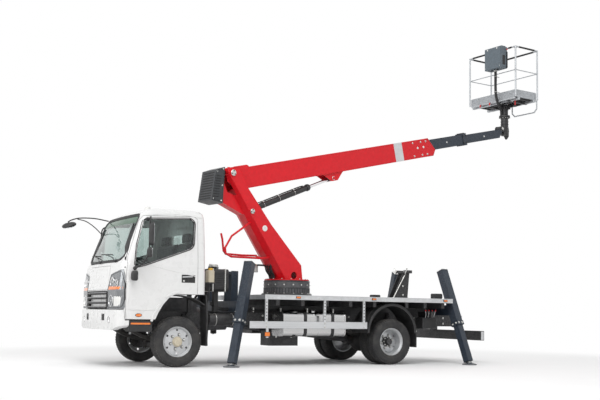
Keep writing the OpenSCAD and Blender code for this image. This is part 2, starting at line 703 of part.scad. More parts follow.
// Steering knuckle: forked lugs on the kingpin, stub axle and brake drum
module knuckle() translate([wheelbase, 0, hub_z]) {
    translate([0, kingpin_y, -76]) cylinder(h = 152, r = 22);
    for (z = [-76, 44]) {
        translate([0, kingpin_y, z]) cylinder(h = 32, r = 42);
        block([-34, kingpin_y, z], [34, kingpin_y + 62, z + 32]);
    }
    block([-60, kingpin_y + 52, -76], [60, kingpin_y + 66, 76]);
    translate([0, kingpin_y + 60, 0]) rotate([-90, 0, 0])
        cylinder(h = front_wheel_y + 66 - kingpin_y - 60, r = stub_r);
    translate([0, kingpin_y + 60, 0]) rotate([-90, 0, 0]) cylinder(h = 60, r = 150);
}
module left_knuckle() color([0.1, 0.1, 0.1]) placed() knuckle();
module right_knuckle() color([0.1, 0.1, 0.1]) placed() mirror([0, 1, 0]) knuckle();

// ---------------------------------------------------------------- turret and boom

// Moves things drawn with x = s, the distance along the boom, onto the truck
module boom_plane() placed() translate([slew_x, 0, 0]) rotate([0, 0, 180 + boom_yaw]) children();
// Moves things drawn along the boom from its hinge pin
module along_boom() boom_plane() translate([boom_pin_s, 0, boom_pin_z]) rotate([0, -boom_tilt, 0]) children();

module slew_ring() color([0.06, 0.06, 0.065]) placed() translate([slew_x, 0, 0]) {
    translate([0, 0, deck_z]) cylinder(h = 40, r = 425);
    translate([0, 0, deck_z + 36]) cylinder(h = 1386 - deck_z - 36, r = 392);
}

// A post along the column's front edge: cross section [forward, across]
module along_edge(section, from, to)
    translate([edge_s, 0, column_z]) rotate([0, -edge_lean, 0]) translate([0, 0, from])
        linear_extrude(to - from) polygon(section);

module column_box() {
    translate([0, 0, column_z - 16]) cylinder(h = 18, r = 385);
    both_sides() {
        side_plate(CHEEK, column_half, column_half + cheek);
        // facet between the cheek and the narrower front wall
        along_edge([[4, column_half + cheek], [-nose_out, nose_half], [-nose_out, nose_half - 12],
            [4, column_half]], edge_from, 2060);
        side_plate(NOSE, nose_half - 10, nose_half);
        // bosses for the two pins
        translate([boom_pin_s, column_half - 40, boom_pin_z]) rotate([-90, 0, 0]) cylinder(h = 66, r = 62);
        translate([barrel_pin[0], column_half - 30, barrel_pin[1]]) rotate([-90, 0, 0])
            cylinder(h = 50, r = 45);
    }
    along_edge([[-nose_out, -nose_half], [-nose_out, nose_half], [-nose_out + 12, nose_half],
        [-nose_out + 12, -nose_half]], edge_from, 2020);
    // underside of the nose and the wall towards the boom
    side_plate([[-1012, 2455], [-1479, 2641], [-1479, 2653], [-1005, 2466]], -nose_half, nose_half);
    side_plate([[172, column_z], [160, column_z], [132, 1648], [-430, 2214], [-420, 2226], [146, 1656]],
        -column_half - 1, column_half + 1);
}

// Tubes that keep hoses and hands off the column's foot
module column_guard() {
    bent_tube([[-862, -108, 2330], [-1240, -120, 2080], [-1366, -120, 1880], [-1350, -120, 1790],
        [-1240, -120, 1742], [-640, -120, 1742], [-430, -108, 1770]], 17);
    bent_tube([[-1290, 120, 2135], [-1262, 120, 2040], [-1235, 120, 1850], [-1190, 120, 1800],
        [-850, 120, 1792], [-560, 120, 1800]], 17);
    for (s = [-1210, -620]) bar([s, -120, 1742], [s + 20, 120, 1798], 14);
}

module column() color([0.80, 0.06, 0.07]) boom_plane() {
    difference() {
        column_box();
        // pin holes
        translate([boom_pin_s, 0, boom_pin_z]) rotate([90, 0, 0])
            cylinder(h = 800, r = 32 + pin_room, center = true);
        translate([barrel_pin[0], 0, barrel_pin[1]]) rotate([90, 0, 0])
            cylinder(h = 800, r = 26 + pin_room, center = true);
        // room for the end of the boom between the cheeks
        translate([boom_pin_s, 0, boom_pin_z]) {
            rotate([90, 0, 0]) cylinder(h = boom_w + 14, r = boom_end_r, center = true);
            side_plate(HEEL_SWEEP, -boom_w / 2 - 7, boom_w / 2 + 7);
        }
        // round opening at the foot
        translate([-7, 0, 1478]) rotate([90, 0, 0]) cylinder(h = 800, r = 60, center = true);
    }
    column_guard();
}

module column_cover() color([0.14, 0.16, 0.17]) boom_plane() difference() {
    side_plate(COVER, -column_half - cheek, column_half + cheek);
    side_plate([[-1470, 3168], [-1612, 3112], [-1686, 2634], [-1498, 2604]],
        -column_half, column_half);
}

module along_cylinder() boom_plane() translate([barrel_pin[0], 0, barrel_pin[1]])
    rotate([0, -barrel_tilt, 0]) children();
module lift_barrel() color([0.05, 0.05, 0.055]) along_cylinder() {
    difference() {
        union() {
            rotate([0, 90, 0]) cylinder(h = barrel_end, r = barrel_r);
            translate([barrel_end - 60, 0, 0]) rotate([0, 90, 0]) cylinder(h = 60, r = barrel_r + 6);
            translate([0, -100, 0]) rotate([-90, 0, 0]) cylinder(h = 200, r = 58);
        }
        translate([20, 0, 0]) rotate([0, 90, 0]) cylinder(h = barrel_end, r = rod_r + 1);
    }
    translate([0, -222, 0]) rotate([-90, 0, 0]) cylinder(h = 444, r = 26);
}

module lift_rod() color([0.85, 0.86, 0.87]) along_cylinder() {
    translate([420, 0, 0]) rotate([0, 90, 0]) cylinder(h = rod_len - 420 - 30, r = rod_r);
    translate([rod_len, -50, 0]) rotate([-90, 0, 0]) difference() {
        cylinder(h = 100, r = 38);
        translate([0, 0, -1]) cylinder(h = 102, r = 20);
    }
}

module box_beam(x0, x1, centre, h, w, t) difference() {
    block([x0, -w / 2, centre - h / 2], [x1, w / 2, centre + h / 2]);
    block([x0 - 1, -w / 2 + t, centre - h / 2 + t], [x1 + 1, w / 2 - t, centre + h / 2 - t]);
}

module boom_outer() color([0.80, 0.06, 0.07]) along_boom() {
    low = -boom_drop - boom_h / 2;
    top = -boom_drop + boom_h / 2;
    difference() {
        side_plate([[-80, top], [4720, top], [4896, -180], [4812, low], [70, low], [-80, -120]],
            -boom_w / 2, boom_w / 2);
        block([-200, -boom_w / 2 + plate, low + plate], [5000, boom_w / 2 - plate, top - plate]);
        // slot that the lift rod's eye works in
        block([1150, -72, low - 1], [2480, 72, low + plate + 1]);
        rotate([90, 0, 0]) cylinder(h = 400, r = 32 + run_gap, center = true);
    }
    // hinge pin, with collars that stand clear of the column's cheeks
    translate([0, -222, 0]) rotate([-90, 0, 0]) cylinder(h = 444, r = 32);
    both_sides() {
        translate([0, boom_w / 2 - 1, 0]) rotate([-90, 0, 0]) cylinder(h = 18, r = 58);
        side_plate([[1980, low + 4], [2460, low + 4], [2300, rod_eye_up - 50], [2160, rod_eye_up - 50]],
            86, 100);
        translate([rod_eye_x, 58, rod_eye_up]) rotate([-90, 0, 0]) cylinder(h = 60, r = 24);
    }
    // slide pads at the open end
    translate([4640, 0, -boom_drop]) both_sides() {
        block([0, mid_w / 2 + 2, -60], [60, boom_w / 2 - plate + 1, 120]);
    }
}

module boom_mid() color([0.17, 0.20, 0.25]) along_boom() {
    box_beam(900, 5800, -mid_drop, mid_h, mid_w, 6);
    difference() {
        block([5780, -mid_w / 2 - 14, -mid_drop - mid_h / 2 - 14],
            [5880, mid_w / 2 + 14, -mid_drop + mid_h / 2 + 14]);
        block([5700, -mid_w / 2 + 6, -mid_drop - mid_h / 2 + 6],
            [5900, mid_w / 2 - 6, -mid_drop + mid_h / 2 - 6]);
    }
}

module boom_inner() color([0.17, 0.20, 0.25]) along_boom() {
    box_beam(1700, 6950, -mid_drop, inner_h, inner_w, 6);
    block([6942, -inner_w / 2, -mid_drop - inner_h / 2], [6954, inner_w / 2, -mid_drop + inner_h / 2]);
    both_sides() difference() {
        union() {
            translate([tip_x, 54, tip_up]) rotate([-90, 0, 0]) cylinder(h = 14, r = 50);
            side_plate([[6946, -mid_drop + 60], [tip_x, tip_up + 48], [tip_x + 10, tip_up - 48],
                [6946, -mid_drop - 80]], 54, 68);
        }
        translate([tip_x, 40, tip_up]) rotate([-90, 0, 0]) cylinder(h = 40, r = 20 + run_gap);
    }
}

module boom_head() color([0.05, 0.05, 0.055]) boom_plane() {
    translate([tip_s(), 0, tip_z()]) {
        rotate([90, 0, 0]) cylinder(h = 94, r = 52, center = true);
        rotate([90, 0, 0]) cylinder(h = 160, r = 20, center = true);
        block([0, -47, -50], [rotator_s - tip_s(), 47, 50]);
    }
    translate([rotator_s, 0, tip_z() - 120]) cylinder(h = 380, r = 78);
    translate([rotator_s, 0, tip_z() + 250]) cylinder(h = 24, r = 110);
    // hose loop clipped to the rotator's housing
    bent_tube([[rotator_s + 60, 30, tip_z() + 215], [rotator_s + 125, 40, tip_z() + 150],
        [rotator_s + 160, 44, tip_z()], [rotator_s + 150, 44, tip_z() - 110],
        [rotator_s + 100, 40, tip_z() - 160], [rotator_s + 30, 24, tip_z() - 100]], hose_r);
}

// ---------------------------------------------------------------- basket

// Basket frame: x towards the cab, y to the driver's side, z from under its floor
// Everything on the basket stands in this frame
module in_basket() placed() translate([basket_x, basket_y, basket_z]) rotate([0, 0, basket_yaw]) children();

module basket_frame() color([0.78, 0.79, 0.80]) {
    hx = basket_w / 2 - rail_tube;
    hy = basket_l / 2 - rail_tube;
    top = basket_h - rail_tube;
    r = 70;
    in_basket() {
        // posts and top rail, with rounded corners where they meet
        for (x = [-hx, hx], y = [-hy, hy]) bar([x, y, 4], [x, y, top], rail_tube);
        for (x = [-hx, hx], y = [-hy, hy]) translate([x, y, top]) sphere(r = rail_tube + 1);
        for (x = [-hx, hx]) bar([x, -hy, top], [x, hy, top], rail_tube - 1);
        for (y = [-hy, hy]) bar([-hx, y, top], [hx, y, top], rail_tube - 1);
        for (x = [-hx, hx]) bar([x, -hy, 560], [x, hy, 560], mid_rail_r);
        for (y = [-hy, hy]) bar([-hx, y, 560], [hx, y, 560], mid_rail_r);
        // floor bearers and the step loop under the end
        for (x = [-220, 220]) block([x - 25, -hy, -50], [x + 25, hy, 2]);
        bent_tube([[-hx, hy - 16, 8], [-hx, hy - 16, r - step_drop], [-hx, hy - 16 - r, -step_drop],
            [-hx, r - step_y, -step_drop], [-hx, -step_y, r - step_drop], [-hx, -step_y, 8]],
            mid_rail_r + 4);
    }
    boom_plane() {
        translate([rotator_s, 0, tip_z() + 279]) cylinder(h = 22, r = 110);
        translate([rotator_s, 0, tip_z() + 290]) cylinder(h = basket_z - tip_z() - 292, r = 70);
    }
}

module basket_floor() color([0.55, 0.57, 0.58]) in_basket() {
    hx = basket_w / 2 - 2 * rail_tube - 2;
    hy = basket_l / 2 - 2 * rail_tube - 2;
    block([-hx, -hy, 3], [hx, hy, 15]);
    for (x = [-hx, hx - 4]) block([x, -hy, 3], [x + 4, hy, 150]);
    for (y = [-hy, hy - 4]) block([-hx, y, 3], [hx, y + 4, 150]);
}

module control_box() color([0.30, 0.32, 0.34]) in_basket() {
    block([basket_w / 2 + 2, 0, 620], [basket_w / 2 + 200, 440, 1070]);
    block([basket_w / 2 + 2, 40, 1060], [basket_w / 2 + 120, 400, 1100]);
}

// Conduit from the control box down to the rotator, clipped to the basket all the way
module cable_conduit() color([0.05, 0.05, 0.055]) in_basket() {
    out = basket_w / 2 + 100;
    bent_tube([[out, 210, 619], [out, 210, 400], [out - 4, 206, 240], [out - 30, 190, 110],
        [out - 90, 160, 10], [out - 170, 130, -70], [out - 250, 105, -140], [out - 292, 92, -205],
        [out - 292, 92, -278]], hose_r);
    for (z = [150, 470]) block([basket_w / 2 - 8, 200, z], [out - 12, 220, z + 16]);
}

chassis_frame();
deck_bearers();
propshaft();
front_axle();
rear_axle();
leaf_springs();
engine();
front_bumper();
cab_shell();
hood_hatch();
grille();
headlamps();
cab_glass();
dashboard();
seats();
front_mirror();
mudguards();
deck();
side_guards();
fuel_tank();
battery_box();
oil_tank();
air_cleaner();
outrigger_frames();
boom_rest();
underrun_bar();
slew_ring();
left_door();
left_door_glass();
left_mirror();
right_door();
right_door_glass();
right_mirror();
left_knuckle();
right_knuckle();
front_left_tyre();
front_left_rim();
front_right_tyre();
front_right_rim();
rear_left_tyres();
rear_left_rims();
rear_right_tyres();
rear_right_rims();
column();
column_cover();
lift_barrel();
lift_rod();
boom_outer();
boom_mid();
boom_inner();
boom_head();
basket_frame();
basket_floor();
control_box();
cable_conduit();
front_left_leg();
front_right_leg();
rear_left_leg();
rear_right_leg();
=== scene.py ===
"""Finish and fine detail of the truck-mounted aerial platform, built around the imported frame."""

import json
import math

import bpy
from mathutils import Matrix, Vector
from mathutils.bvhtree import BVHTree


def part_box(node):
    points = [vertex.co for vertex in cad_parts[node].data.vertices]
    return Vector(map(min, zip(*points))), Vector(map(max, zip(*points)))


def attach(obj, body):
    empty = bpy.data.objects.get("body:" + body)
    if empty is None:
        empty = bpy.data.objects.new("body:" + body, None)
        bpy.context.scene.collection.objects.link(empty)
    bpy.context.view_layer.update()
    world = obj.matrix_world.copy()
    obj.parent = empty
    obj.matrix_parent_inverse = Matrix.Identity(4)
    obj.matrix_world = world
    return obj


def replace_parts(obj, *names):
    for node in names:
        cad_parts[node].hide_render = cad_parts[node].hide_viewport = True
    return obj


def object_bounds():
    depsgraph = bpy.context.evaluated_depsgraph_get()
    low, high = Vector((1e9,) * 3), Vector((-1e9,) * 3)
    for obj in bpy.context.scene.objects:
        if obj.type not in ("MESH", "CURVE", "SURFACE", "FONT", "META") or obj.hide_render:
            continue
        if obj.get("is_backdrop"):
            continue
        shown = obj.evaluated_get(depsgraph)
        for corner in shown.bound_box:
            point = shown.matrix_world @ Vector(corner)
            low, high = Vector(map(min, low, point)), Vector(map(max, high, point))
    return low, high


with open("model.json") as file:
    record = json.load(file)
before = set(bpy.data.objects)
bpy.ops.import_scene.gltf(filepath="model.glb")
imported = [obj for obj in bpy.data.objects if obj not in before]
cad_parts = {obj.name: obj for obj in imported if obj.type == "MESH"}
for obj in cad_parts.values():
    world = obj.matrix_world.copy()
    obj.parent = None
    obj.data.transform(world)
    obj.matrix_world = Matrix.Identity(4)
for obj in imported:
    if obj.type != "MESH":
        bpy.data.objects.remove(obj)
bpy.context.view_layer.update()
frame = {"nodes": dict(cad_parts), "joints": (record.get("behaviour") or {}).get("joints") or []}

NODE = frame["nodes"]
JOINT = {joint["name"]: joint for joint in frame["joints"]}
SIDES = {"left": 1, "right": -1}
UP = Vector((0, 0, 1))


# ---------------------------------------------------------------- places taken from the frame

def middle(node):
    low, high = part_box(node)
    return (low + high) / 2


def pivot(joint):
    return Vector(JOINT[joint]["pos_m"])


# ground under the rear axle, from which the truck's lengths are measured
AXLE = Vector((middle("rear_left_tyres").x, middle("rear_axle").y, 0))


def truck(x, y, z):
    return AXLE + Vector((x, y, z))


# the boom: along it, across it and square to both
ALONG = Vector(JOINT["boom_extend"]["axis"]).normalized()
ACROSS = -Vector(JOINT["boom_lift"]["axis"]).normalized()
BOOM_UP = ALONG.cross(ACROSS)
PIN = pivot("boom_lift")
OUTWARD = Vector((ALONG.x, ALONG.y, 0)).normalized()
SLEW = Vector((pivot("slew").x, pivot("slew").y, 0))


def boom(x, y, z):
    """A point x along the boom from its hinge pin, y across it and z above the pin's line."""
    return PIN + ALONG * x + ACROSS * y + BOOM_UP * z


def turret(s, y, z):
    """A point in the boom's upright plane: s out from the slewing axis, y across and z up."""
    return SLEW + OUTWARD * s + ACROSS * y + UP * z


def axes(origin, x_axis, z_axis):
    """The matrix of a frame with its z along z_axis and its x near x_axis."""
    z = Vector(z_axis).normalized()
    y = z.cross(Vector(x_axis)).normalized()
    x = y.cross(z)
    made = Matrix((x, y, z)).transposed().to_4x4()
    made.translation = Vector(origin)
    return made


def facing(origin, direction):
    """A frame at origin whose z points along direction."""
    side = Vector((1, 0, 0)) if abs(Vector(direction).normalized().x) < 0.9 else Vector((0, 1, 0))
    return axes(origin, side, direction)


def boom_axes(x, y, z):
    return axes(boom(x, y, z), ALONG, BOOM_UP)


def turret_axes(s, y, z):
    return axes(turret(s, y, z), OUTWARD, UP)


BASKET_YAW = math.radians(5.9)
BASKET = middle("basket_floor")
BASKET.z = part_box("basket_floor")[0].z - 0.003
BASKET_HALF = (0.3385, 0.677)
BASKET_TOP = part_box("basket_frame")[1].z - BASKET.z - 0.018


def basket_axes(x, y, z):
    turn = Matrix.Rotation(BASKET_YAW, 4, "Z")
    return Matrix.Translation(BASKET) @ turn @ Matrix.Translation((x, y, z))


def basket(x, y, z):
    return basket_axes(x, y, z).translation


BASKET_X = basket(1, 0, 0) - basket(0, 0, 0)
BASKET_Y = basket(0, 1, 0) - basket(0, 0, 0)


# ---------------------------------------------------------------- making shapes

class Part:
    """Collects the faces of one piece, each face with its material."""

    def __init__(self):
        self.points = []
        self.faces = []
        self.skins = []
        self.used = []

    def add(self, points, faces, material, at=None):
        start = len(self.points)
        self.points += [at @ Vector(p) if at else Vector(p) for p in points]
        if material not in self.used:
            self.used.append(material)
        skin = self.used.index(material)
        flip = at is not None and at.determinant() < 0
        for face in faces:
            ring = [start + i for i in face]
            self.faces.append(ring[::-1] if flip else ring)
            self.skins.append(skin)

    def build(self, name, body, slot, sharp=35):
        mesh = bpy.data.meshes.new(name)
        mesh.from_pydata([tuple(p) for p in self.points], [], self.faces)
        for material in self.used:
            mesh.materials.append(material)
        mesh.polygons.foreach_set("material_index", self.skins)
        mesh.polygons.foreach_set("use_smooth", [True] * len(self.faces))
        mesh.set_sharp_from_angle(angle=math.radians(sharp))
        mesh.update()
        made = bpy.data.objects.new(name, mesh)
        bpy.context.scene.collection.objects.link(made)
        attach(made, body)
        return made


def turned(part, at, profile, material, sides=32, start=0.0, sweep=1.0):
    """A shape turned about z from (radius, height) pairs, listed so that faces look outward."""
    whole = sweep >= 1.0
    count = sides if whole else sides + 1
    points = []
    for r, z in profile:
        for i in range(count):
            a = 2 * math.pi * (start + sweep * i / sides)
            points.append((r * math.cos(a), r * math.sin(a), z))
    faces = []
    for k in range(len(profile) - 1):
        for i in range(sides):
            j = (i + 1) % count
            a, b = k * count, (k + 1) * count
            faces.append((a + i, a + j, b + j, b + i))
    if whole and profile[0][0] > 1e-6:
        faces.append(tuple(range(count))[::-1])
    if whole and profile[-1][0] > 1e-6:
        faces.append(tuple((len(profile) - 1) * count + i for i in range(count)))
    part.add(points, faces, material, at)


def disc(part, at, radius, height, material, edge=0.002, sides=32):
    """A round plate or pin with a chamfered top edge, standing on z = 0."""
    turned(part, at, [(radius, 0), (radius, height - edge), (radius - edge, height)], material, sides)


def ring(part, at, radius, thick, material, sides=40, around=10):
    """A torus about z."""
    points, faces = [], []
    for i in range(sides):
        a = 2 * math.pi * i / sides
        for j in range(around):
            b = 2 * math.pi * j / around
            r = radius + thick * math.cos(b)
            points.append((r * math.cos(a), r * math.sin(a), thick * math.sin(b)))
    for i in range(sides):
        for j in range(around):
            n, m = (i + 1) % sides, (j + 1) % around
            faces.append((i * around + j, n * around + j, n * around + m, i * around + m))
    part.add(points, faces, material, at)


def box(part, at, size, material, edge=0.004):
    """A box about its middle with all its edges chamfered."""
    half = [s / 2 for s in size]
    cut = min(edge, min(half) * 0.6)
    points, index = [], {}
    for sx in (-1, 1):
        for sy in (-1, 1):
            for sz in (-1, 1):
                sign = (sx, sy, sz)
                for flat in range(3):
                    index[sign, flat] = len(points)
                    points.append(tuple(
                        sign[k] * (half[k] - (0 if k == flat else cut)) for k in range(3)))
    faces = []
    for flat in range(3):
        u, v = (flat + 1) % 3, (flat + 2) % 3
        for s in (-1, 1):
            loop = []
            for su, sv in ((-1, -1), (1, -1), (1, 1), (-1, 1)):
                sign = [0, 0, 0]
                sign[flat], sign[u], sign[v] = s, su, sv
                loop.append(index[tuple(sign), flat])
            faces.append(tuple(loop if s > 0 else loop[::-1]))
    for along in range(3):
        u, v = (along + 1) % 3, (along + 2) % 3
        for su in (-1, 1):
            for sv in (-1, 1):
                ends = []
                for s in (-1, 1):
                    sign = [0, 0, 0]
                    sign[along], sign[u], sign[v] = s, su, sv
                    ends.append(tuple(sign))
                loop = [index[ends[0], u], index[ends[1], u], index[ends[1], v], index[ends[0], v]]
                faces.append(tuple(loop if su * sv < 0 else loop[::-1]))
    for sign in {key[0] for key in index}:
        loop = [index[sign, 0], index[sign, 1], index[sign, 2]]
        faces.append(tuple(loop if sign[0] * sign[1] * sign[2] > 0 else loop[::-1]))
    part.add(points, faces, material, at)


def prism(part, at, outline, height, material, edge=0.0):
    """A flat outline raised along z, with a chamfer at its top when edge is given."""
    n = len(outline)
    area = sum(outline[i - 1][0] * outline[i][1] - outline[i][0] * outline[i - 1][1] for i in range(n))
    path = list(outline) if area > 0 else list(outline)[::-1]
    levels = [(path, 0.0), (path, height - edge)]
    if edge:
        inner = []
        for i in range(n):
            before, here, after = Vector(path[i - 1]), Vector(path[i]), Vector(path[(i + 1) % n])
            lean = ((here - before).normalized() + (after - here).normalized()).normalized()
            inner.append(tuple(here + edge * Vector((-lean.y, lean.x))))
        levels.append((inner, height))
    points = [(x, y, z) for level, z in levels for x, y in level]
    faces = [tuple(range(n))[::-1], tuple((len(levels) - 1) * n + i for i in range(n))]
    for k in range(len(levels) - 1):
        for i in range(n):
            j = (i + 1) % n
            faces.append((k * n + i, k * n + j, (k + 1) * n + j, (k + 1) * n + i))
    part.add(points, faces, material, at)


def curve_through(points, steps=6):
    """A smooth path through points, as a list of points."""
    path = [Vector(p) for p in points]
    made = []
    for i in range(len(path) - 1):
        a, b = path[max(i - 1, 0)], path[i]
        c, d = path[i + 1], path[min(i + 2, len(path) - 1)]
        for k in range(steps):
            t = k / steps
            made.append(0.5 * ((2 * b) + (c - a) * t + (2 * a - 5 * b + 4 * c - d) * t * t
                               + (3 * b - a - 3 * c + d) * t ** 3))
    return made + [path[-1]]


def bent(points, radius, steps=5):
    """A path of straight runs with rounded bends of the given radius."""
    path = [Vector(p) for p in points]
    made = [path[0]]
    for i in range(1, len(path) - 1):
        back, on = path[i - 1] - path[i], path[i + 1] - path[i]
        reach = min(radius, back.length * 0.48, on.length * 0.48)
        a, b = path[i] + back.normalized() * reach, path[i] + on.normalized() * reach
        for k in range(steps + 1):
            t = k / steps
            made.append((1 - t) ** 2 * a + 2 * t * (1 - t) * path[i] + t * t * b)
    return made + [path[-1]]


def tube(part, path, radius, material, sides=12, radii=None):
    """A round tube along a path, closed at both ends; radii may give a radius for every point."""
    path = [Vector(p) for p in path]
    n = len(path)
    tangents = []
    for i in range(n):
        tangents.append((path[min(i + 1, n - 1)] - path[max(i - 1, 0)]).normalized())
    side = facing((0, 0, 0), tangents[0]).col[0].to_3d()
    points, faces = [], []
    for i in range(n):
        side = (side - tangents[i] * side.dot(tangents[i])).normalized()
        other = tangents[i].cross(side)
        r = radii[i] if radii else radius
        for j in range(sides):
            a = 2 * math.pi * j / sides
            points.append(path[i] + r * (side * math.cos(a) + other * math.sin(a)))
    for i in range(n - 1):
        for j in range(sides):
            m = (j + 1) % sides
            faces.append((i * sides + j, i * sides + m, (i + 1) * sides + m, (i + 1) * sides + j))
    faces.append(tuple(range(sides))[::-1])
    faces.append(tuple((n - 1) * sides + j for j in range(sides)))
    part.add(points, faces, material)


def ribbed(part, path, radius, pitch, material, depth=0.12, sides=16):
    """A corrugated hose along a path."""
    dense, radii = [], []
    length = 0.0
    fine = []
    for a, b in zip(path, path[1:]):
        steps = max(1, round((b - a).length / (pitch / 4)))
        fine += [a + (b - a) * k / steps for k in range(steps)]
    fine.append(path[-1])
    for i, point in enumerate(fine):
        length += (point - fine[i - 1]).length if i else 0.0
        dense.append(point)
        radii.append(radius * (1 - depth * (0.5 + 0.5 * math.cos(2 * math.pi * length / pitch))))
    tube(part, dense, radius, material, sides, radii)


def bolt(part, origin, direction, size, steel, washer=True):
    """A hexagon head of that width on a washer, standing on a surface."""
    at = facing(origin, direction)
    if washer:
        disc(part, at, size * 0.95, size * 0.18, steel, size * 0.06, 20)
    turned(part, at @ Matrix.Translation((0, 0, size * 0.15)),
           [(size * 0.58, 0), (size * 0.58, size * 0.5), (size * 0.46, size * 0.62)], steel, 6)


def rounded_rect(width, height, radius, steps=5):
    """The outline of a rounded rectangle about its middle."""
    made = []
    for cx, cy, start in ((1, 1, 0), (-1, 1, 90), (-1, -1, 180), (1, -1, 270)):
        for k in range(steps + 1):
            a = math.radians(start + 90 * k / steps)
            made.append((cx * (width / 2 - radius) + radius * math.cos(a),
                         cy * (height / 2 - radius) + radius * math.sin(a)))
    return made


# ---------------------------------------------------------------- laying things on the cab

def tree_of(*names):
    points, faces = [], []
    for name in names:
        start = len(points)
        mesh = NODE[name].data
        points += [v.co.copy() for v in mesh.vertices]
        faces += [[start + i for i in p.vertices] for p in mesh.polygons]
    return BVHTree.FromPolygons(points, faces)


CAB = tree_of("cab_shell", "cab_glass", "hood_hatch", "headlamps", "grille", "left_door", "right_door",
              "left_door_glass", "right_door_glass")
FAR = 4.0


NUDGES = [(0.0, 0.0)] + [(reach * u, reach * v) for reach in (0.008, 0.016, 0.03, 0.05)
                         for u, v in ((-1, 0), (0, -1), (0, 1), (1, 0))]


def first_hit(start_of, way, deepest, a, b):
    """Where a ray meets the cab's skin, or a near neighbour of it where the ray falls into a seam."""
    for da, db in NUDGES:
        hit, normal, _, _ = CAB.ray_cast(start_of(a + da, b + db), way)
        if hit is not None and (hit - AXLE).dot(-way) > deepest and normal.dot(-way) > 0.02:
            return hit - Vector((way.y * way.y * da, way.x * way.x * da, db)), normal
    return None, None


def on_front(y, z):
    """The point and normal where the cab's front is at that place of the truck's frame."""
    return first_hit(lambda a, b: truck(FAR + 4, a, b), Vector((-1, 0, 0)), 4.2, y, z)


def on_side(side):
    def find(x, z):
        return first_hit(lambda a, b: truck(a, side * FAR, b), Vector((0, -side, 0)), 0.70, x, z)
    return find


def rounded_path(points, radius, closed=True, spacing=0.09, steps=4):
    """An outline with its corners rounded and its straight runs divided."""
    path = [Vector(p) for p in points]
    n = len(path)
    made = []
    for i in range(n):
        here = path[i]
        if not closed and i in (0, n - 1):
            made.append(here)
            continue
        back, on = path[i - 1] - here, path[(i + 1) % n] - here
        reach = min(radius, back.length * 0.45, on.length * 0.45)
        a, b = here + back.normalized() * reach, here + on.normalized() * reach
        made += [(1 - k / steps) ** 2 * a + 2 * (k / steps) * (1 - k / steps) * here
                 + (k / steps) ** 2 * b for k in range(steps + 1)]
    dense = []
    pairs = list(zip(made, made[1:] + made[:1] if closed else made[1:]))
    for a, b in pairs:
        count = max(1, math.ceil((b - a).length / spacing))
        dense += [a + (b - a) * k / count for k in range(count)]
    return dense if closed else dense + [made[-1]]


def edging(part, find, outline, inner, outer, height, material, closed=True, lift=0.0):
    """A raised strip laid on the cab along an outline, reaching inner and outer to its two sides."""
    n = len(outline)
    rows = []
    for i in range(n):
        before = outline[i - 1] if closed or i else outline[0]
        after = outline[(i + 1) % n] if closed or i < n - 1 else outline[-1]
        way = (after - before).normalized()
        square = Vector((way.y, -way.x))
        row = []
        for reach, up in ((-inner, 0.0), (-inner * 0.8, height), (outer * 0.8, height), (outer, 0.0)):
            place = outline[i] + square * reach
            hit, normal = find(place.x, place.y)
            if hit is None:
                row = None
                break
            row.append(hit + normal * (up + lift))
        if row:
            rows.append(row)
    count = len(rows)
    points = [p for row in rows for p in row]
    faces = []
    for i in range(count if closed else count - 1):
        j = (i + 1) % count
        for k in range(3):
            faces.append((4 * i + k, 4 * j + k, 4 * j + k + 1, 4 * i + k + 1))
    # turn the strip so that its faces look away from the cab
    a, b, c = (points[k] for k in faces[1][:3])
    _, normal = find(*outline[0])
    if (b - a).cross(c - b).dot(normal) < 0:
        faces = [face[::-1] for face in faces]
    part.add(points, faces, material)


def patch(part, find, corners, lift, material, across=8, up=3):
    """A sheet laid on the cab between four corners, given in order round its edge."""
    a, b, c, d = (Vector(p) for p in corners)
    points, faces = [], []
    for j in range(up + 1):
        for i in range(across + 1):
            u, v = i / across, j / up
            place = (a * (1 - u) + b * u) * (1 - v) + (d * (1 - u) + c * u) * v
            hit, normal = find(place.x, place.y)
            edge = 0.0 if i in (0, across) or j in (0, up) else lift
            if hit is None:
                raise ValueError(f"no cab surface at {tuple(place)}")
            points.append(hit + normal * max(edge, 0.0005))
    for j in range(up):
        for i in range(across):
            k = j * (across + 1) + i
            faces.append((k, k + 1, k + across + 2, k + across + 1))
    p, q, r = (points[k] for k in faces[0][:3])
    _, normal = find(*((a + c) / 2))
    if (q - p).cross(r - q).dot(normal) < 0:
        faces = [face[::-1] for face in faces]
    part.add(points, faces, material)


# ---------------------------------------------------------------- materials

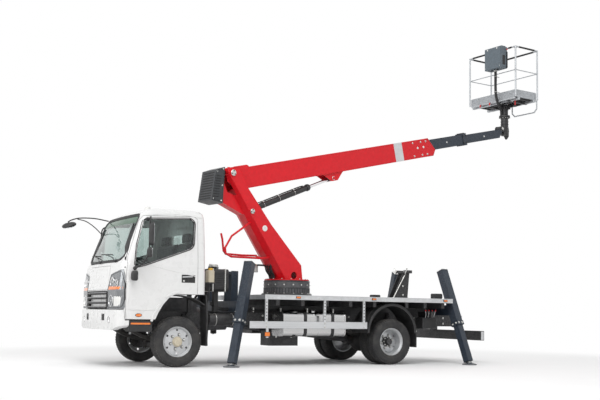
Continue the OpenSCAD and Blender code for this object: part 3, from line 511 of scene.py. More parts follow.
def material(name, colour, rough, metal=0.0, shade=0.07, grain=18.0, fine=0.0, fine_scale=400.0,
             coat=0.0, dust=0.0, wear=0.0, stretch=(1, 1, 1), rough_range=0.08, shine=0.5):
    """A painted, moulded or metal finish: mottled colour, uneven gloss, fine bump, dust and worn edges."""
    made = bpy.data.materials.new(name)
    made.use_nodes = True
    nodes, links = made.node_tree.nodes, made.node_tree.links
    shader = nodes["Principled BSDF"]
    shader.inputs["Metallic"].default_value = metal
    shader.inputs["Coat Weight"].default_value = coat
    shader.inputs["Coat Roughness"].default_value = 0.06
    shader.inputs["Specular IOR Level"].default_value = shine
    place = nodes.new("ShaderNodeTexCoord")
    scaling = nodes.new("ShaderNodeMapping")
    scaling.inputs["Scale"].default_value = stretch
    links.new(place.outputs["Object"], scaling.inputs["Vector"])

    def noise(scale, detail):
        made_noise = nodes.new("ShaderNodeTexNoise")
        made_noise.inputs["Scale"].default_value = scale
        made_noise.inputs["Detail"].default_value = detail
        links.new(scaling.outputs["Vector"], made_noise.inputs["Vector"])
        return made_noise.outputs["Fac"]

    def ramp(value, low, high, first, last):
        made_ramp = nodes.new("ShaderNodeMapRange")
        for socket, number in zip(("From Min", "From Max", "To Min", "To Max"), (low, high, first, last)):
            made_ramp.inputs[socket].default_value = number
        links.new(value, made_ramp.inputs["Value"])
        return made_ramp.outputs["Result"]

    def mixed(factor, first, last):
        mix = nodes.new("ShaderNodeMix")
        mix.data_type = "RGBA"
        links.new(factor, mix.inputs["Factor"])
        for socket, value in (("A", first), ("B", last)):
            port = next(i for i in mix.inputs if i.name == socket and i.type == "RGBA")
            if isinstance(value, tuple):
                port.default_value = (*value, 1)
            else:
                links.new(value, port)
        return next(o for o in mix.outputs if o.type == "RGBA")

    dark = tuple(c * (1 - shade) for c in colour)
    light = tuple(min(1.0, c * (1 + shade)) for c in colour)
    mottled = noise(grain, 6)
    tint = mixed(ramp(mottled, 0.35, 0.65, 0.0, 1.0), dark, light)
    roughness = ramp(noise(grain * 0.45, 4), 0.3, 0.7, max(0.03, rough - rough_range),
                     min(1.0, rough + rough_range))
    if dust:
        shape = nodes.new("ShaderNodeNewGeometry")
        split = nodes.new("ShaderNodeSeparateXYZ")
        links.new(shape.outputs["Normal"], split.inputs["Vector"])
        lying = ramp(split.outputs["Z"], 0.1, 1.0, 0.25, 1.0)
        times = nodes.new("ShaderNodeMath")
        times.operation = "MULTIPLY"
        links.new(lying, times.inputs[0])
        links.new(ramp(noise(7.0, 8), 0.42, 0.72, 0.0, dust), times.inputs[1])
        tint = mixed(times.outputs[0], tint, DUST)
    if wear:
        shape = nodes.new("ShaderNodeNewGeometry")
        times = nodes.new("ShaderNodeMath")
        times.operation = "MULTIPLY"
        links.new(ramp(shape.outputs["Pointiness"], 0.52, 0.58, 0.0, wear), times.inputs[0])
        links.new(ramp(noise(60.0, 5), 0.45, 0.6, 0.0, 1.0), times.inputs[1])
        tint = mixed(times.outputs[0], tint, WORN)
    links.new(tint, shader.inputs["Base Color"])
    links.new(roughness, shader.inputs["Roughness"])
    if fine:
        bump = nodes.new("ShaderNodeBump")
        bump.inputs["Strength"].default_value = 0.6
        bump.inputs["Distance"].default_value = fine
        links.new(noise(fine_scale, 3), bump.inputs["Height"])
        links.new(bump.outputs["Normal"], shader.inputs["Normal"])
    return made


def glass(name, colour, rough=0.02, grain=3.0):
    """Clear or tinted glass, with the faint streaks of a cleaned pane in its gloss."""
    made = material(name, colour, rough, shade=0.03, grain=grain, rough_range=0.015)
    shader = made.node_tree.nodes["Principled BSDF"]
    shader.inputs["Transmission Weight"].default_value = 1.0
    shader.inputs["IOR"].default_value = 1.45
    return made


def woven(name, colour, thread=0.004):
    """Cloth with a plain weave of that thread width."""
    made = material(name, colour, 0.85, shade=0.16, grain=30.0)
    nodes, links = made.node_tree.nodes, made.node_tree.links
    shader = nodes["Principled BSDF"]
    place = next(n for n in nodes if n.type == "TEX_COORD")
    heights = []
    for axis in ("Y", "Z"):
        wave = nodes.new("ShaderNodeTexWave")
        wave.bands_direction = axis
        wave.inputs["Scale"].default_value = 0.314 / thread
        wave.inputs["Distortion"].default_value = 0.4
        links.new(place.outputs["Object"], wave.inputs["Vector"])
        heights.append(wave.outputs["Fac"])
    join = nodes.new("ShaderNodeMath")
    join.operation = "MULTIPLY"
    links.new(heights[0], join.inputs[0])
    links.new(heights[1], join.inputs[1])
    bump = nodes.new("ShaderNodeBump")
    bump.inputs["Distance"].default_value = 0.001
    links.new(join.outputs[0], bump.inputs["Height"])
    links.new(bump.outputs["Normal"], shader.inputs["Normal"])
    shader.inputs["Sheen Weight"].default_value = 0.4
    return made


DUST = (0.33, 0.30, 0.26)
WORN = (0.42, 0.42, 0.42)

white_paint = material("white_paint", (0.74, 0.74, 0.735), 0.30, shade=0.008, fine=0.00008, fine_scale=260,
                       coat=0.5)
red_paint = material("red_paint", (0.66, 0.010, 0.018), 0.36, shade=0.05, fine=0.00015, fine_scale=240,
                     coat=0.12, dust=0.03, shine=0.25)
# painted shade: a darker red that stands for shade, used on the rim of the boom's open end
painted_shade_red = material("painted_shade_red", (0.42, 0.02, 0.026), 0.38, shade=0.05, fine=0.0003,
                          fine_scale=240, coat=0.3)
slate_paint = material("slate_paint", (0.024, 0.034, 0.050), 0.44, shade=0.10, fine=0.0002,
                       fine_scale=260, dust=0.03, wear=0.06, shine=0.35)
black_paint = material("black_paint", (0.022, 0.022, 0.024), 0.48, shade=0.15, fine=0.0004,
                       fine_scale=200, dust=0.12, wear=0.08)
axle_paint = material("axle_paint", (0.026, 0.026, 0.027), 0.62, shade=0.2, fine=0.0012,
                      fine_scale=90, dust=0.35)
cast_iron = material("cast_iron", (0.10, 0.10, 0.105), 0.66, metal=0.4, shade=0.18, fine=0.0016,
                     fine_scale=120, dust=0.25)
spring_steel = material("spring_steel", (0.05, 0.048, 0.046), 0.60, metal=0.3, shade=0.2, fine=0.0008,
                        fine_scale=150, dust=0.3)
rubber = material("rubber", (0.026, 0.026, 0.027), 0.78, shade=0.16, fine=0.0006, fine_scale=300, dust=0.28)
soft_rubber = material("soft_rubber", (0.014, 0.014, 0.015), 0.60, shade=0.12, fine=0.0003, fine_scale=500)
rim_silver = material("rim_silver", (0.55, 0.56, 0.57), 0.38, metal=0.55, shade=0.06, fine=0.0004,
                      fine_scale=200, dust=0.16)
polished = material("polished_aluminium", (0.58, 0.58, 0.58), 0.22, metal=1.0, shade=0.05, grain=6.0,
                    fine=0.0004, fine_scale=90, stretch=(0.15, 1, 1), rough_range=0.1)
anodised = material("anodised_aluminium", (0.62, 0.63, 0.64), 0.40, metal=0.85, shade=0.05, grain=12.0,
                    fine=0.0002, fine_scale=300, stretch=(0.1, 1, 1))
deck_alloy = material("deck_aluminium", (0.60, 0.61, 0.62), 0.42, metal=0.8, shade=0.08, grain=9.0,
                      fine=0.0004, fine_scale=160, dust=0.18)
basket_alloy = material("basket_aluminium", (0.50, 0.52, 0.54), 0.40, metal=0.55, shade=0.07, grain=14.0,
                        fine=0.0003, fine_scale=260, dust=0.08)
zinc = material("zinc_plate", (0.60, 0.60, 0.58), 0.32, metal=0.9, shade=0.12, grain=60.0)
chrome = material("chrome", (0.86, 0.86, 0.87), 0.09, metal=1.0, shade=0.03, grain=8.0, rough_range=0.04)
brass = material("passivated_zinc", (0.62, 0.52, 0.26), 0.36, metal=0.85, shade=0.14, grain=50.0)
black_plastic = material("black_plastic", (0.020, 0.020, 0.021), 0.55, shade=0.10, fine=0.0006,
                         fine_scale=900, dust=0.08)
cover_plastic = material("cover_plastic", (0.030, 0.033, 0.037), 0.46, shade=0.1, fine=0.0006,
                         fine_scale=500, dust=0.16)
dash_plastic = material("dash_plastic", (0.060, 0.062, 0.066), 0.70, shade=0.1, fine=0.0008, fine_scale=700)
box_paint = material("box_paint", (0.105, 0.135, 0.160), 0.45, shade=0.07, fine=0.0005, fine_scale=240,
                     dust=0.03, wear=0.1)
grey_panel = material("grey_panel", (0.44, 0.46, 0.48), 0.48, metal=0.4, shade=0.10, fine=0.0008,
                      fine_scale=300, dust=0.12)
grey_paint = material("grey_paint", (0.22, 0.225, 0.23), 0.5, shade=0.08, fine=0.0005, fine_scale=240)
beige_plastic = material("beige_plastic", (0.56, 0.50, 0.38), 0.45, shade=0.05, fine=0.0003, fine_scale=400)
yellow_plastic = material("yellow_plastic", (0.70, 0.42, 0.04), 0.40, shade=0.05, fine=0.0003,
                          fine_scale=400)
red_plastic = material("red_plastic", (0.62, 0.02, 0.02), 0.36, shade=0.05, fine=0.0002, fine_scale=400)
white_plastic = material("white_plastic", (0.76, 0.76, 0.74), 0.42, shade=0.03, fine=0.0003,
                         fine_scale=400, dust=0.10)
orange_lens = material("orange_lens", (0.82, 0.20, 0.02), 0.14, shade=0.06, grain=80.0, coat=0.8)
red_lens = material("red_lens", (0.55, 0.012, 0.012), 0.14, shade=0.06, grain=80.0, coat=0.8)
reflector = material("lamp_reflector", (0.80, 0.80, 0.80), 0.14, metal=0.95, shade=0.05, grain=20.0)
lamp_bowl = material("lamp_bowl", (0.26, 0.27, 0.28), 0.22, metal=0.8, shade=0.10, grain=30.0)
band_green = material("sun_band", (0.035, 0.10, 0.055), 0.22, shade=0.08, grain=4.0)
mirror_face = material("mirror_face", (0.80, 0.82, 0.84), 0.05, metal=1.0, shade=0.02, grain=4.0,
                       rough_range=0.02)
clear_lens = glass("clear_lens", (0.98, 0.98, 0.98), 0.03)
window_glass = glass("window_glass", (0.62, 0.70, 0.68))
seat_cloth = woven("seat_cloth", (0.075, 0.080, 0.092))

NODE_FINISH = {
    "chassis_frame": black_paint, "deck_bearers": black_paint, "propshaft": cast_iron,
    "front_axle": axle_paint, "rear_axle": axle_paint, "leaf_springs": spring_steel, "engine": cast_iron,
    "front_bumper": white_paint, "cab_shell": white_paint, "hood_hatch": white_paint,
    "grille": black_plastic, "headlamps": lamp_bowl, "cab_glass": window_glass, "dashboard": dash_plastic,
    "seats": seat_cloth, "front_mirror": black_plastic, "mudguards": black_plastic, "deck": deck_alloy,
    "side_guards": anodised, "fuel_tank": polished, "battery_box": black_paint, "oil_tank": black_paint,
    "air_cleaner": black_plastic, "outrigger_frames": slate_paint, "boom_rest": black_paint,
    "underrun_bar": black_paint, "slew_ring": cast_iron, "left_door": white_paint,
    "left_door_glass": window_glass, "left_mirror": black_plastic, "right_door": white_paint,
    "right_door_glass": window_glass, "right_mirror": black_plastic, "left_knuckle": axle_paint,
    "right_knuckle": axle_paint, "front_left_tyre": rubber, "front_left_rim": rim_silver,
    "front_right_tyre": rubber, "front_right_rim": rim_silver, "rear_left_tyres": rubber,
    "rear_left_rims": rim_silver, "rear_right_tyres": rubber, "rear_right_rims": rim_silver,
    "column": red_paint, "column_cover": cover_plastic, "lift_barrel": black_paint, "lift_rod": chrome,
    "boom_outer": red_paint, "boom_mid": slate_paint, "boom_inner": slate_paint, "boom_head": black_paint,
    "basket_frame": basket_alloy, "basket_floor": grey_panel, "control_box": box_paint,
    "cable_conduit": black_plastic, "front_left_leg": slate_paint, "front_right_leg": slate_paint,
    "rear_left_leg": slate_paint, "rear_right_leg": slate_paint,
}
for node_name, node in NODE.items():
    skins = node.data.materials
    for place in range(max(1, len(skins))):
        if place < len(skins):
            skins[place] = NODE_FINISH[node_name]
        else:
            skins.append(NODE_FINISH[node_name])
    node.data.polygons.foreach_set("use_smooth", [True] * len(node.data.polygons))


# ---------------------------------------------------------------- wheels and tyres

TYRE_R, TYRE_HALF = 0.3835, 0.104
TREAD_DEPTH = 0.012
RIBS = ((-0.0775, 0.028, 54, 0.80), (-0.041, 0.030, 54, 0.90), (0.0, 0.034, 60, 0.94),
        (0.041, 0.030, 54, 0.90), (0.0775, 0.028, 54, 0.80))


def looped(part, at, profile, material, sides=72):
    """A closed cross section of (radius, height) pairs turned about z."""
    n = len(profile)
    points = [(r * math.cos(2 * math.pi * i / sides), r * math.sin(2 * math.pi * i / sides), z)
              for i in range(sides) for r, z in profile]
    faces = []
    for i in range(sides):
        j = (i + 1) % sides
        for k in range(n):
            m = (k + 1) % n
            faces.append((i * n + k, j * n + k, j * n + m, i * n + m))
    part.add(points, faces, material, at)


def crown(z):
    return TYRE_R - 0.006 * abs(z / 0.0915) ** 3


def tyre(part, at):
    """A tyre about z: carcass with ribbed walls and blocks of tread between its grooves."""
    wall = [(0.231, -0.080), (0.238, -0.094), (0.247, -0.0985), (0.250, -0.1005), (0.254, -0.0985),
            (0.272, -0.1015), (0.2745, -0.1035), (0.277, -0.102), (0.318, -0.1035), (0.3205, -0.1052),
            (0.323, -0.1035), (0.341, -0.101), (0.3435, -0.1025), (0.346, -0.0995), (0.360, -0.094),
            (0.3695, -0.086)]
    level = [(crown(z) - TREAD_DEPTH, z) for z in (-0.06, -0.03, 0.0, 0.03, 0.06)]
    profile = wall + level + [(r, -z) for r, z in reversed(wall)]
    looped(part, at, profile, rubber, 96)
    for middle_z, width, count, fill in RIBS:
        shoulder = abs(middle_z) > 0.06
        points, faces = [], []
        for i in range(count):
            first = 2 * math.pi * (i + 0.5 * (middle_z > 0)) / count
            last = first + 2 * math.pi * fill / count
            zig = 0.0022 if i % 2 else -0.0022
            base = len(points)
            for down in (TREAD_DEPTH + 0.002, 0.0):
                for angle, z in ((first, -1), (last, -1), (last, 1), (first, 1)):
                    z = middle_z + z * width / 2 + (0 if shoulder else zig)
                    r = crown(z) - down
                    if shoulder and abs(z) > 0.085 and not down:
                        r -= 0.004
                    points.append((r * math.cos(angle), r * math.sin(angle), z))
            a = base
            faces += [(a + 4, a + 5, a + 6, a + 7), (a, a + 1, a + 5, a + 4), (a + 1, a + 2, a + 6, a + 5),
                      (a + 2, a + 3, a + 7, a + 6), (a + 3, a, a + 4, a + 7)]
        part.add(points, faces, rubber, at)
    # buttress bars down the shoulder
    for side in (-1, 1):
        for i in range(54):
            a = 2 * math.pi * (i + 0.4) / 54
            lug = at @ Matrix.Rotation(a, 4, "Z") @ Matrix.Translation((0.3655, 0, side * 0.0895))
            box(part, lug, (0.020, 0.024, 0.018), rubber, 0.003)


STUD_CIRCLE = 0.111        # radius at which the six wheel nuts stand
FRONT_WIDE = middle("front_left_tyre")
for side_name, side in SIDES.items():
    centre = Vector((FRONT_WIDE.x, middle(f"front_{side_name}_tyre").y, FRONT_WIDE.z))
    out = Vector((0, side, 0))
    piece = Part()
    tyre(piece, facing(centre, out))
    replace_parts(piece.build(f"front_{side_name}_tread", f"front_{side_name}_wheel", "tyre", 30),
                f"front_{side_name}_tyre")

    piece = Part()
    low_y, high_y = (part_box(f"rear_{side_name}_tyres")[k].y for k in (0, 1))
    rear_centre = middle(f"rear_{side_name}_tyres")
    for y in (low_y + TYRE_HALF, high_y - TYRE_HALF):
        tyre(piece, facing((rear_centre.x, y, rear_centre.z), out))
    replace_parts(piece.build(f"rear_{side_name}_treads", f"rear_{side_name}_wheels", "tyre", 30),
                f"rear_{side_name}_tyres")

    # front hub: nuts in dark rings, studs and a pale cap
    face = 0.062
    hub = facing(centre, out)
    piece = Part()
    for k in range(6):
        at = hub @ Matrix.Rotation(math.radians(60 * k + 15), 4, "Z") @ Matrix.Translation((STUD_CIRCLE, 0, face))
        disc(piece, at, 0.0235, 0.003, black_paint, 0.001, 24)
        turned(piece, at, [(0.0175, 0.002), (0.0175, 0.020), (0.014, 0.023)], zinc, 6)
        turned(piece, at, [(0.0085, 0.02), (0.0085, 0.034), (0.0065, 0.036)], zinc, 12)
    turned(piece, hub @ Matrix.Translation((0, 0, face)),
           [(0.078, 0), (0.078, 0.008), (0.070, 0.011), (0.064, 0.012), (0.062, 0.038), (0.056, 0.044),
            (0.030, 0.046), (0.028, 0.049), (0.0, 0.050)], beige_plastic, 40)
    ring(piece, hub @ Matrix.Translation((0, 0, face + 0.004)), 0.0835, 0.0045, rim_silver)
    ring(piece, hub @ Matrix.Translation((0, 0, 0.0815)), 0.2235, 0.0045, rim_silver, 64)
    tube(piece,
         [hub @ Vector(p) for p in ((0.196, 0.03, 0.045), (0.203, 0.032, 0.062), (0.205, 0.033, 0.074))],
         0.004, soft_rubber, 8)
    piece.build(f"front_{side_name}_hub", f"front_{side_name}_wheel", "rim_silver")

    # rear hub: deep dish with a dark hub, its nuts and a stub of the half shaft's flange
    outer_y = (high_y if side > 0 else low_y) - side * TYRE_HALF
    hub = facing(Vector((rear_centre.x, outer_y, rear_centre.z)), out)
    face = -0.074
    piece = Part()
    for k in range(6):
        at = hub @ Matrix.Rotation(math.radians(60 * k + 12), 4, "Z") @ Matrix.Translation((STUD_CIRCLE, 0, face))
        disc(piece, at, 0.0235, 0.003, black_paint, 0.001, 24)
        turned(piece, at, [(0.0175, 0.002), (0.0175, 0.024), (0.014, 0.027)], zinc, 6)
        turned(piece, at, [(0.009, 0.02), (0.009, 0.040), (0.007, 0.042)], zinc, 12)
    turned(piece, hub @ Matrix.Translation((0, 0, face)),
           [(0.084, 0), (0.084, 0.030), (0.080, 0.036), (0.060, 0.040), (0.056, 0.092), (0.050, 0.100),
            (0.0, 0.102)], black_paint, 40)
    for k in range(8):
        turn = hub @ Matrix.Rotation(math.radians(45 * k), 4, "Z")
        bolt(piece, turn @ Vector((0.070, 0, face + 0.037)), out, 0.013, zinc)
    ring(piece, hub @ Matrix.Translation((0, 0, 0.0815)), 0.2235, 0.0045, rim_silver, 64)
    piece.build(f"rear_{side_name}_hub", f"rear_{side_name}_wheels", "rim_silver")


# ---------------------------------------------------------------- cab: seals, wipers, lamps and trim

def flat_points(pairs):
    return [Vector(p) for p in pairs]


WINDSCREEN = flat_points([(-0.850, 1.664), (-0.700, 1.590), (0.700, 1.590), (0.850, 1.664), (0.792, 2.282),
                          (-0.792, 2.282)])
DOOR_WINDOW = flat_points([(4.534, 1.485), (4.502, 1.808), (4.392, 2.214), (3.640, 2.256), (3.580, 2.200),
                           (3.602, 1.851), (3.652, 1.795), (4.398, 1.519)])

trim = Part()
edging(trim, on_front, rounded_path(WINDSCREEN, 0.09), 0.020, 0.030, 0.008, soft_rubber)
trim.build("windscreen_seal", "root", "black_plastic")

band = Part()
patch(band, on_front, [(-0.775, 2.165), (0.775, 2.165), (0.768, 2.262), (-0.768, 2.262)], 0.002, band_green,
      16, 3)
band.build("sun_band", "root", "window_glass")

for side_name, side in SIDES.items():
    find = on_side(side)
    seal = Part()
    edging(seal, find, rounded_path(DOOR_WINDOW, 0.06), 0.012, 0.020, 0.007, soft_rubber)
    seal.build(f"{side_name}_window_seal", f"{side_name}_door", "black_plastic")

    handle = Part()
    patch(handle, find, [(3.575, 1.275), (3.795, 1.275), (3.795, 1.395), (3.575, 1.395)], 0.006,
          black_plastic, 8, 4)
    cup, cup_way = find(3.685, 1.335)
    at = axes(cup + cup_way * 0.012, (1, 0, 0), cup_way)
    turned(handle, at, [(0.026, -0.006), (0.026, 0.004), (0.021, 0.007), (0.0, 0.007)], black_plastic, 28)
    grip = [find(x, z)[0] + cup_way * lift for x, z, lift in
            ((3.625, 1.368, 0.006), (3.640, 1.366, 0.020), (3.690, 1.364, 0.024), (3.765, 1.360, 0.020),
             (3.780, 1.359, 0.006))]
    tube(handle, curve_through(grip, 5), 0.009, anodised, 12)
    lock, lock_way = find(3.760, 1.302)
    turned(handle, facing(lock, lock_way), [(0.014, 0), (0.014, 0.010), (0.011, 0.012), (0.0, 0.012)], zinc,
           20)
    handle.build(f"{side_name}_door_handle", f"{side_name}_door", "black_plastic")

    mark = Part()
    spot, spot_way = find(4.457, 0.777)
    base = axes(spot, (1, 0, 0), spot_way)
    oval = [(0.052 * math.cos(a), 0.026 * math.sin(a)) for a in
            (2 * math.pi * k / 28 for k in range(28))]
    prism(mark, base, oval, 0.008, black_plastic, 0.003)
    prism(mark, base @ Matrix.Translation((0, 0, 0.005)), [(x * 0.86, y * 0.80) for x, y in oval], 0.010,
          orange_lens, 0.004)
    mark.build(f"{side_name}_side_marker", f"{side_name}_door", "black_plastic")

    # pressed crease along the sill of the door, and the drip rail over it
    crease = Part()
    edging(crease, find, [Vector((x, 0.862)) for x in (4.140, 4.25, 4.36, 4.46, 4.56, 4.640)], 0.010, 0.010,
           0.006, white_paint, closed=False)
    edging(crease, find, [Vector((x, 1.462 + 0.20 * (x - 4.0))) for x in
                          (3.56, 3.7, 3.85, 4.0, 4.15, 4.3)], 0.007, 0.007, 0.004, white_paint, closed=False)
    crease.build(f"{side_name}_door_crease", f"{side_name}_door", "cab_white")

    # hinges on the door's front edge
    hinges = Part()
    for z in (0.985, 1.305):
        knuckle = find(4.628, z)[0]
        tube(hinges, [knuckle + Vector((0, side * 0.002, dz)) for dz in (-0.035, 0.035)], 0.008, white_paint,
             12)
    hinges.build(f"{side_name}_door_hinges", f"{side_name}_door", "cab_white")

    # black garnish beside the windscreen pillar
    pillar = Part()
    edging(pillar, find, [Vector(p) for p in ((4.672, 1.47), (4.652, 1.62), (4.600, 1.80), (4.545, 1.97),
                                              (4.480, 2.16))], 0.006, 0.010, 0.005, soft_rubber,
           closed=False)
    pillar.build(f"{side_name}_pillar_strip", "root", "black_plastic")

# wipers, parked low on the glass
wipers = Part()
for foot, bend, tip, blade in (((0.62, 1.572), (0.42, 1.640), (0.06, 1.690), 0.30),
                               ((-0.05, 1.572), (-0.25, 1.640), (-0.58, 1.690), 0.30)):
    stations = []
    for place, lift in ((foot, 0.010), (foot, 0.030), (bend, 0.040), (tip, 0.026)):
        hit, way_out = on_front(*place)
        stations.append(hit + way_out * lift)
    disc(wipers, facing(on_front(*foot)[0], on_front(*foot)[1]), 0.020, 0.028, black_plastic, 0.004, 20)
    tube(wipers, curve_through(stations, 5), 0.006, black_plastic, 8)
    run = []
    for k in range(9):
        t = k / 8 - 0.5
        y, z = tip[0] + 2 * blade * t, tip[1] + 0.012 - 0.03 * t
        hit, way_out = on_front(y, z)
        run.append(hit + way_out * 0.010)
    tube(wipers, run, 0.006, soft_rubber, 8)
wipers.build("wipers", "root", "black_plastic")

# headlamps: bowls and bulbs, with turn lamps in coloured strips
LAMP = [(0.535, 0.885), (0.945, 0.885), (0.968, 0.985), (0.968, 1.235), (0.915, 1.425), (0.572, 1.362),
        (0.535, 1.150)]
for side_name, side in SIDES.items():
    lamp_outline = flat_points([(side * y, z) for y, z in LAMP])
    unit = Part()
    for y, z, size in ((0.660, 0.985, 0.078), (0.668, 1.262, 0.070), (0.828, 1.245, 0.052)):
        hit, way_out = on_front(side * y, z)
        at = facing(hit - way_out * 0.004, Vector((1, 0, 0)).lerp(way_out, 0.3))
        turned(unit, at, [(size * 1.12, 0.0), (size * 1.12, 0.010), (size * 1.02, 0.012), (size, 0.006),
                          (size * 0.72, -0.010), (size * 0.32, -0.018), (0.0, -0.019)], reflector, 36)
        turned(unit, at @ Matrix.Translation((0, 0, -0.014)), [(0.012, 0), (0.012, 0.016), (0.009, 0.020),
                                                               (0.0, 0.021)], white_plastic, 20)
    patch(unit, on_front, [(side * 0.552, 1.150), (side * 0.955, 1.150), (side * 0.955, 1.196),
                           (side * 0.552, 1.196)], 0.006, orange_lens, 8, 2)
    patch(unit, on_front, [(side * 0.760, 0.905), (side * 0.925, 0.905), (side * 0.945, 1.050),
                           (side * 0.760, 1.050)], 0.005, white_plastic, 6, 4)
    edging(unit, on_front, rounded_path(lamp_outline, 0.04, spacing=0.05), 0.002, 0.004, 0.003, soft_rubber)
    unit.build(f"{side_name}_headlamp_bowls", "root", "lamp_clear")

# grille: bars with bright edges before the dark mesh, and the round boss left plain
grille = Part()
for z in (0.884, 0.958, 1.028, 1.098):
    rows = []
    for k in range(17):
        y = -0.488 + 0.976 * k / 16
        hit, way_out = on_front(y, z)
        rows.append((hit, way_out))
    for drop, height, out_by, skin in ((0.0, 0.016, 0.013, black_plastic), (0.011, 0.005, 0.0165, anodised)):
        points = []
        for hit, way_out in rows:
            base = hit + UP * drop
            for dz, out_y in ((-height / 2, -0.004), (-height / 2, out_by), (height / 2, out_by),
                              (height / 2, -0.004)):
                points.append(base + UP * dz + Vector((1, 0, 0)) * out_y)
        faces = []
        for k in range(16):
            for m in range(4):
                n = (m + 1) % 4
                faces.append((4 * k + m, 4 * (k + 1) + m, 4 * (k + 1) + n, 4 * k + n))
        faces += [(0, 1, 2, 3), (67, 66, 65, 64)]
        grille.add(points, [face[::-1] for face in faces], skin)
edging(grille, on_front, rounded_path(flat_points([(-0.505, 0.868), (0.505, 0.868), (0.505, 1.126),
                                                   (-0.505, 1.126)]), 0.02), 0.006, 0.010, 0.008,
       black_plastic)
grille.build("grille_bars", "root", "grille_black")

# seam and pressed lines round the lid, with its plain round badge seat
lid = Part()
edging(lid, on_front, rounded_path(flat_points([(-0.470, 1.190), (0.470, 1.190), (0.455, 1.470),
                                                (-0.455, 1.470)]), 0.06), 0.007, 0.007, 0.003, white_paint)
spot, spot_way = on_front(0, 1.335)
turned(lid, facing(spot, spot_way), [(0.062, -0.004), (0.062, 0.003), (0.056, 0.006), (0.0, 0.007)],
       white_paint, 40)
lid.build("hood_lid_pressings", "hood_hatch", "cab_white")

# bumper: dark cups behind its openings, and fog lamps
bumper = Part()
FRONT_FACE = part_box("front_bumper")[1].x
for side_name, side in SIDES.items():
    cup = truck(0, side * 0.400, 0.740)
    cup.x = FRONT_FACE - 0.034
    box(bumper, Matrix.Translation(cup), (0.018, 0.138, 0.098), soft_rubber, 0.006)
    for dz in (-0.026, 0.0, 0.026):
        box(bumper, Matrix.Translation(cup + Vector((0.013, 0, dz))), (0.010, 0.128, 0.008), black_plastic,
            0.002)
    fog = truck(0, side * 0.640, 0.700)
    fog.x = FRONT_FACE - 0.046
    at = facing(fog, (1, 0, 0))
    turned(bumper, at, [(0.051, -0.02), (0.051, 0.010), (0.046, 0.012), (0.043, 0.004), (0.026, -0.008),
                        (0.0, -0.012)], reflector, 32)
    turned(bumper, at, [(0.044, 0.005), (0.042, 0.013), (0.022, 0.019), (0.0, 0.021)], clear_lens, 32)
bumper.build("bumper_fittings", "root", "grille_black")

# wheel arch: raised white flare, part of it on the door
for side_name, side in SIDES.items():
    find = on_side(side)
    hub_x, hub_height = 3.815, 0.3835
    for suffix, body, first, last in (("door", f"{side_name}_door", 24, 52), ("cab", "root", 62, 92)):
        outline = [Vector((hub_x + 0.615 * math.cos(math.radians(a)) * 0.78,
                           hub_height + 0.745 * math.sin(math.radians(a))))
                   for a in range(first, last + 1, 4)]
        outline = [p for p in outline if find(p.x, p.y)[0] is not None]
        if len(outline) < 3:
            continue
        arch = Part()
        edging(arch, find, outline, 0.016, 0.020, 0.012, white_paint, closed=False)
        arch.build(f"{side_name}_arch_{suffix}", body, "cab_white")
    step = Part()
    spot = truck(4.418, side * 0.957, 0.652)
    box(step, Matrix.Translation(spot), (0.30, 0.010, 0.026), orange_lens, 0.004)
    box(step, Matrix.Translation(truck(4.418, side * 0.955, 0.652)), (0.33, 0.008, 0.044), black_plastic,
        0.003)
    for k in range(9):
        box(step, Matrix.Translation(truck(4.285 + 0.033 * k, side * 0.90, 0.699)), (0.016, 0.10, 0.005),
            black_plastic, 0.002)
    # flap behind the wheel
    points, faces = [], []
    for k in range(7):
        for m in range(5):
            points.append(truck(3.345 - 0.006 * math.sin(k * 0.9) - 0.010 * (k / 6) ** 2,
                                side * (0.730 + 0.236 * m / 4), 0.70 - 0.375 * k / 6))
    for k in range(6):
        for m in range(4):
            a = 5 * k + m
            faces += [(a, a + 1, a + 6, a + 5), (a + 5, a + 6, a + 1, a)]
    step.add(points, [f for f in faces[::2]], soft_rubber)
    step.build(f"{side_name}_step_trim", "root", "black_plastic")

